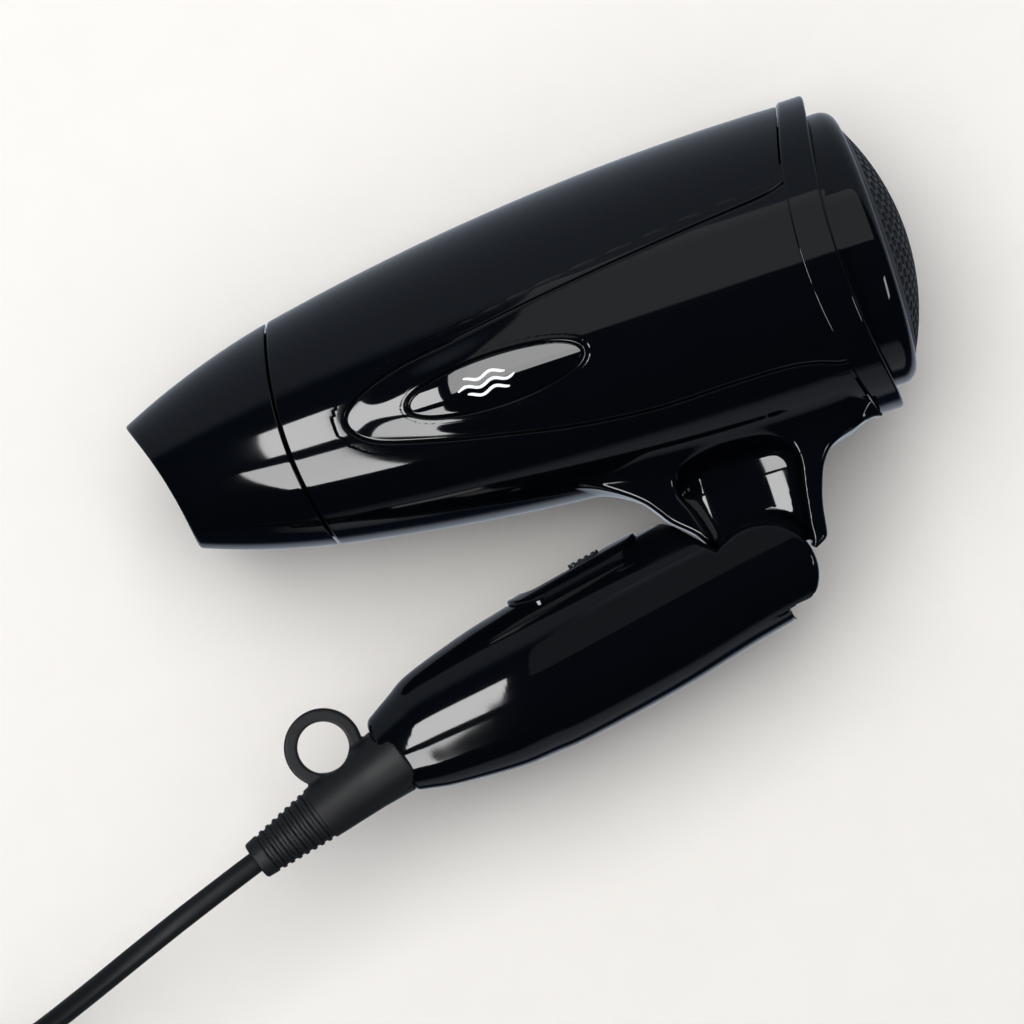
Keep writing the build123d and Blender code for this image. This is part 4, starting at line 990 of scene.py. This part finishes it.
# ---- Switch -----------------------------------------------------------------------------------
def plate_field(x, y, z):
    """The switch's surround, proud of the handle's skin, with the knob's tray and slot."""
    hx, hy = turned_from(x, y, SLIDE_AT, SLIDE_ANGLE)
    skin = handle_skin(hx, hy, z)
    body = meet(skin - PLATE_PROUD, oval(x, z, PLATE_SIZE), 0.75)
    body = np.maximum(body, -1.5 - skin)
    tray = np.maximum(oval(x - TRAY_AT, z, TRAY_SIZE), y - 0.1)
    body = meet(body, -tray, 0.45)
    stem = np.maximum(np.abs(x - TRAY_AT) - 8.6, np.abs(z) - 1.5)
    return meet(np.maximum(body, y - 12), -stem, 0.15)


piece("switch_surround", [solid(plate_field, (-19, -3.5, -10), (19, 9.5, 10), 0.3, SLIDE)],
      "gloss_black", "handle", "switch_plate")

KNOB_AT = -3.9
RIDGE = 1.9


def knob_field(x, y, z):
    """The slide's knob: a rounded plate with ridges, on a stem."""
    x = x - KNOB_AT
    plan = np.hypot(np.maximum(np.abs(x) - 2.7, 0), np.maximum(np.abs(z) - 2.2, 0)) - 1.6
    body = meet(plan, np.abs(y + 0.8) - 0.65, 0.3)
    between = np.abs((x % RIDGE) - RIDGE / 2)
    groove = np.maximum(0.55 - between, y + 1.05)
    groove = np.maximum(groove, np.abs(x) - 3.6)
    body = meet(body, -groove, 0.18)
    stem = np.maximum(np.maximum(np.abs(x) - 2.0, np.abs(z) - 1.1), np.abs(y - 2.1) - 2.5)
    return np.minimum(body, stem)


piece("slide_knob", [solid(knob_field, (-8.6, -2.2, -4.1), (1.0, 4.8, 4.1), 0.16, SLIDE)],
      "satin_black", "switch", "switch_knob")

# ---- Strain relief with its hanging loop ------------------------------------------------------
RELIEF_LENGTH = 42.6
LOOP_AT = turned_to(161.1, 77.4, RELIEF_AT, RELIEF_ANGLE)
LOOP_HOLE_R = 6.5
LOOP_MIDDLE_R = 8.25
LOOP_HALF = (1.75, 2.2)        # half the ring's width and half its thickness
RIB_START = 22.96
RIB_PITCH = 2.2
RIBS = 8
RIB_GROOVE = 1.0
RIB_DEPTH = 0.5


def relief_field(x, y, z):
    """A cone that meets the handle's end, with shallow ribs, a root inside it and the loop on its side."""
    rho = np.hypot(y, z)
    radius = np.interp(x, (-4.0, 8.0, 22.0, RELIEF_LENGTH), (9.9, 8.4, 7.3, 5.1))
    cone = meet(rho - radius, np.abs(x - RELIEF_LENGTH / 2 + 2.0) - RELIEF_LENGTH / 2 - 2.0, 0.7)
    hx, hy = turned_from(x, y, RELIEF_IN_HANDLE, RELIEF_ANGLE - FOLD_ANGLE)
    nose_gap = 0.12 - meet(handle_skin(hx, hy, z), HANDLE_OUTLINE(hx, hy), 1.3)
    cone = np.maximum(cone, nose_gap)
    place_in = (x - RIB_START + RIB_PITCH / 2) % RIB_PITCH - RIB_PITCH / 2
    ribbed = np.abs(x - RIB_START - RIB_PITCH * (RIBS - 1) / 2) - RIB_PITCH * RIBS / 2
    groove = np.maximum(np.maximum(np.abs(place_in) - RIB_GROOVE / 2, radius - RIB_DEPTH - rho), ribbed)
    cone = meet(cone, -groove, 0.35)
    root = np.maximum(rho - 7.1, np.abs(x + 3.0) - 6.0)
    across = np.hypot(x - LOOP_AT[0], y - LOOP_AT[1])
    loop = meet(np.abs(across - LOOP_MIDDLE_R) - LOOP_HALF[0], np.abs(z) - LOOP_HALF[1], 0.7)
    body = join(np.minimum(cone, root), np.maximum(loop, nose_gap), 1.0)
    return meet(body, LOOP_HOLE_R - across, 0.4)


piece("strain_relief_with_loop", [solid(relief_field, (-10, -24, -10), (44, 10, 10), 0.36, RELIEF)],
      "rubber_black", "handle", "strain_relief")

# ---- Plug -------------------------------------------------------------------------------------
tail_end, before_end = (Vector(at) for at in (TAIL_ROUTE[-1], TAIL_ROUTE[-2]))
plug_way = tail_end - before_end
plug_way.z = 0
PLUG = place(tail_end - Vector((0, 0, AXIS_Z)), plug_way, parent=SIDE)
PLUG_FACE = 56.0
PLUG_STATIONS = (0, 22, 26, 31, 36, 46, PLUG_FACE)


def plug_field(x, y, z):
    """The plug: a ribbed neck that widens to a flat-sided body with finger grips."""
    half_width = np.interp(x, PLUG_STATIONS, (4.4, 6.4, 7.6, 13.2, 17.3, 17.6, 15.6))
    half_height = np.interp(x, PLUG_STATIONS, (4.4, 5.9, 6.8, 10.4, 12.8, 13.0, 12.0))
    power = 2.0 + 1.4 * smooth((x - 20) / 18)
    size = ((np.abs(y) / half_width) ** power + (np.abs(z) / half_height) ** power) ** (1 / power)
    body = meet((size - 1) * half_height, np.abs(x - PLUG_FACE / 2) - PLUG_FACE / 2, 1.8)
    between = np.abs((x % 2.9) - 1.45)
    neck_skin = np.maximum(half_height * 0.8 - np.hypot(y, z), np.abs(x - 11.0) - 9.0)
    groove = np.maximum(0.6 - between, neck_skin)
    body = meet(body, -groove, 0.3)
    grip = np.maximum(np.abs((x % 2.4) - 1.2) - 0.55, np.maximum(16.6 - np.abs(y), np.abs(x - 45.0) - 7.0))
    return meet(body, -grip, 0.4)


plug = piece("plug_shell", [solid(plug_field, (-1, -19, -14), (57, 19, 14), 0.5, PLUG)],
             "rubber_black", "handle", "plug_body")

# ---- Badge mark -------------------------------------------------------------------------------
MARK_LENGTH = 15.0
MARK_SPACING = 2.0
WAVE_LENGTH = 7.0
WAVE_HEIGHT = 0.55
STROKE = 0.38          # half the stroke's width


def mark_parts(side):
    """Three waves that stand for moving air."""
    parts = []
    for k, length in ((-1, 0.72), (0, 1.0), (1, 0.72)):
        t = np.linspace(-1, 1, 70)
        x = t * MARK_LENGTH / 2 * length
        y = k * MARK_SPACING + WAVE_HEIGHT * np.sin(2 * pi * x / WAVE_LENGTH)
        slope = WAVE_HEIGHT * 2 * pi / WAVE_LENGTH * np.cos(2 * pi * x / WAVE_LENGTH)
        size = np.sqrt(1 + slope ** 2)
        half = STROKE * np.sqrt(np.maximum(1 - t ** 8, 0.0))
        rows = []
        for edge in (-1, 0, 1):
            flat = np.stack([x - edge * half * slope / size, y + edge * half / size], axis=1) + MARK_AT
            rows.append(on_skin(flat, lens_lift(flat) + 0.02 + 0.015 * (edge == 0), side, True))
        parts.append(strip(rows, closed=False))
    return parts


for side, word in ((1, "near"), (-1, "far")):
    mark = piece(f"air_mark_{word}", mark_parts(side), "white_print", "housing")
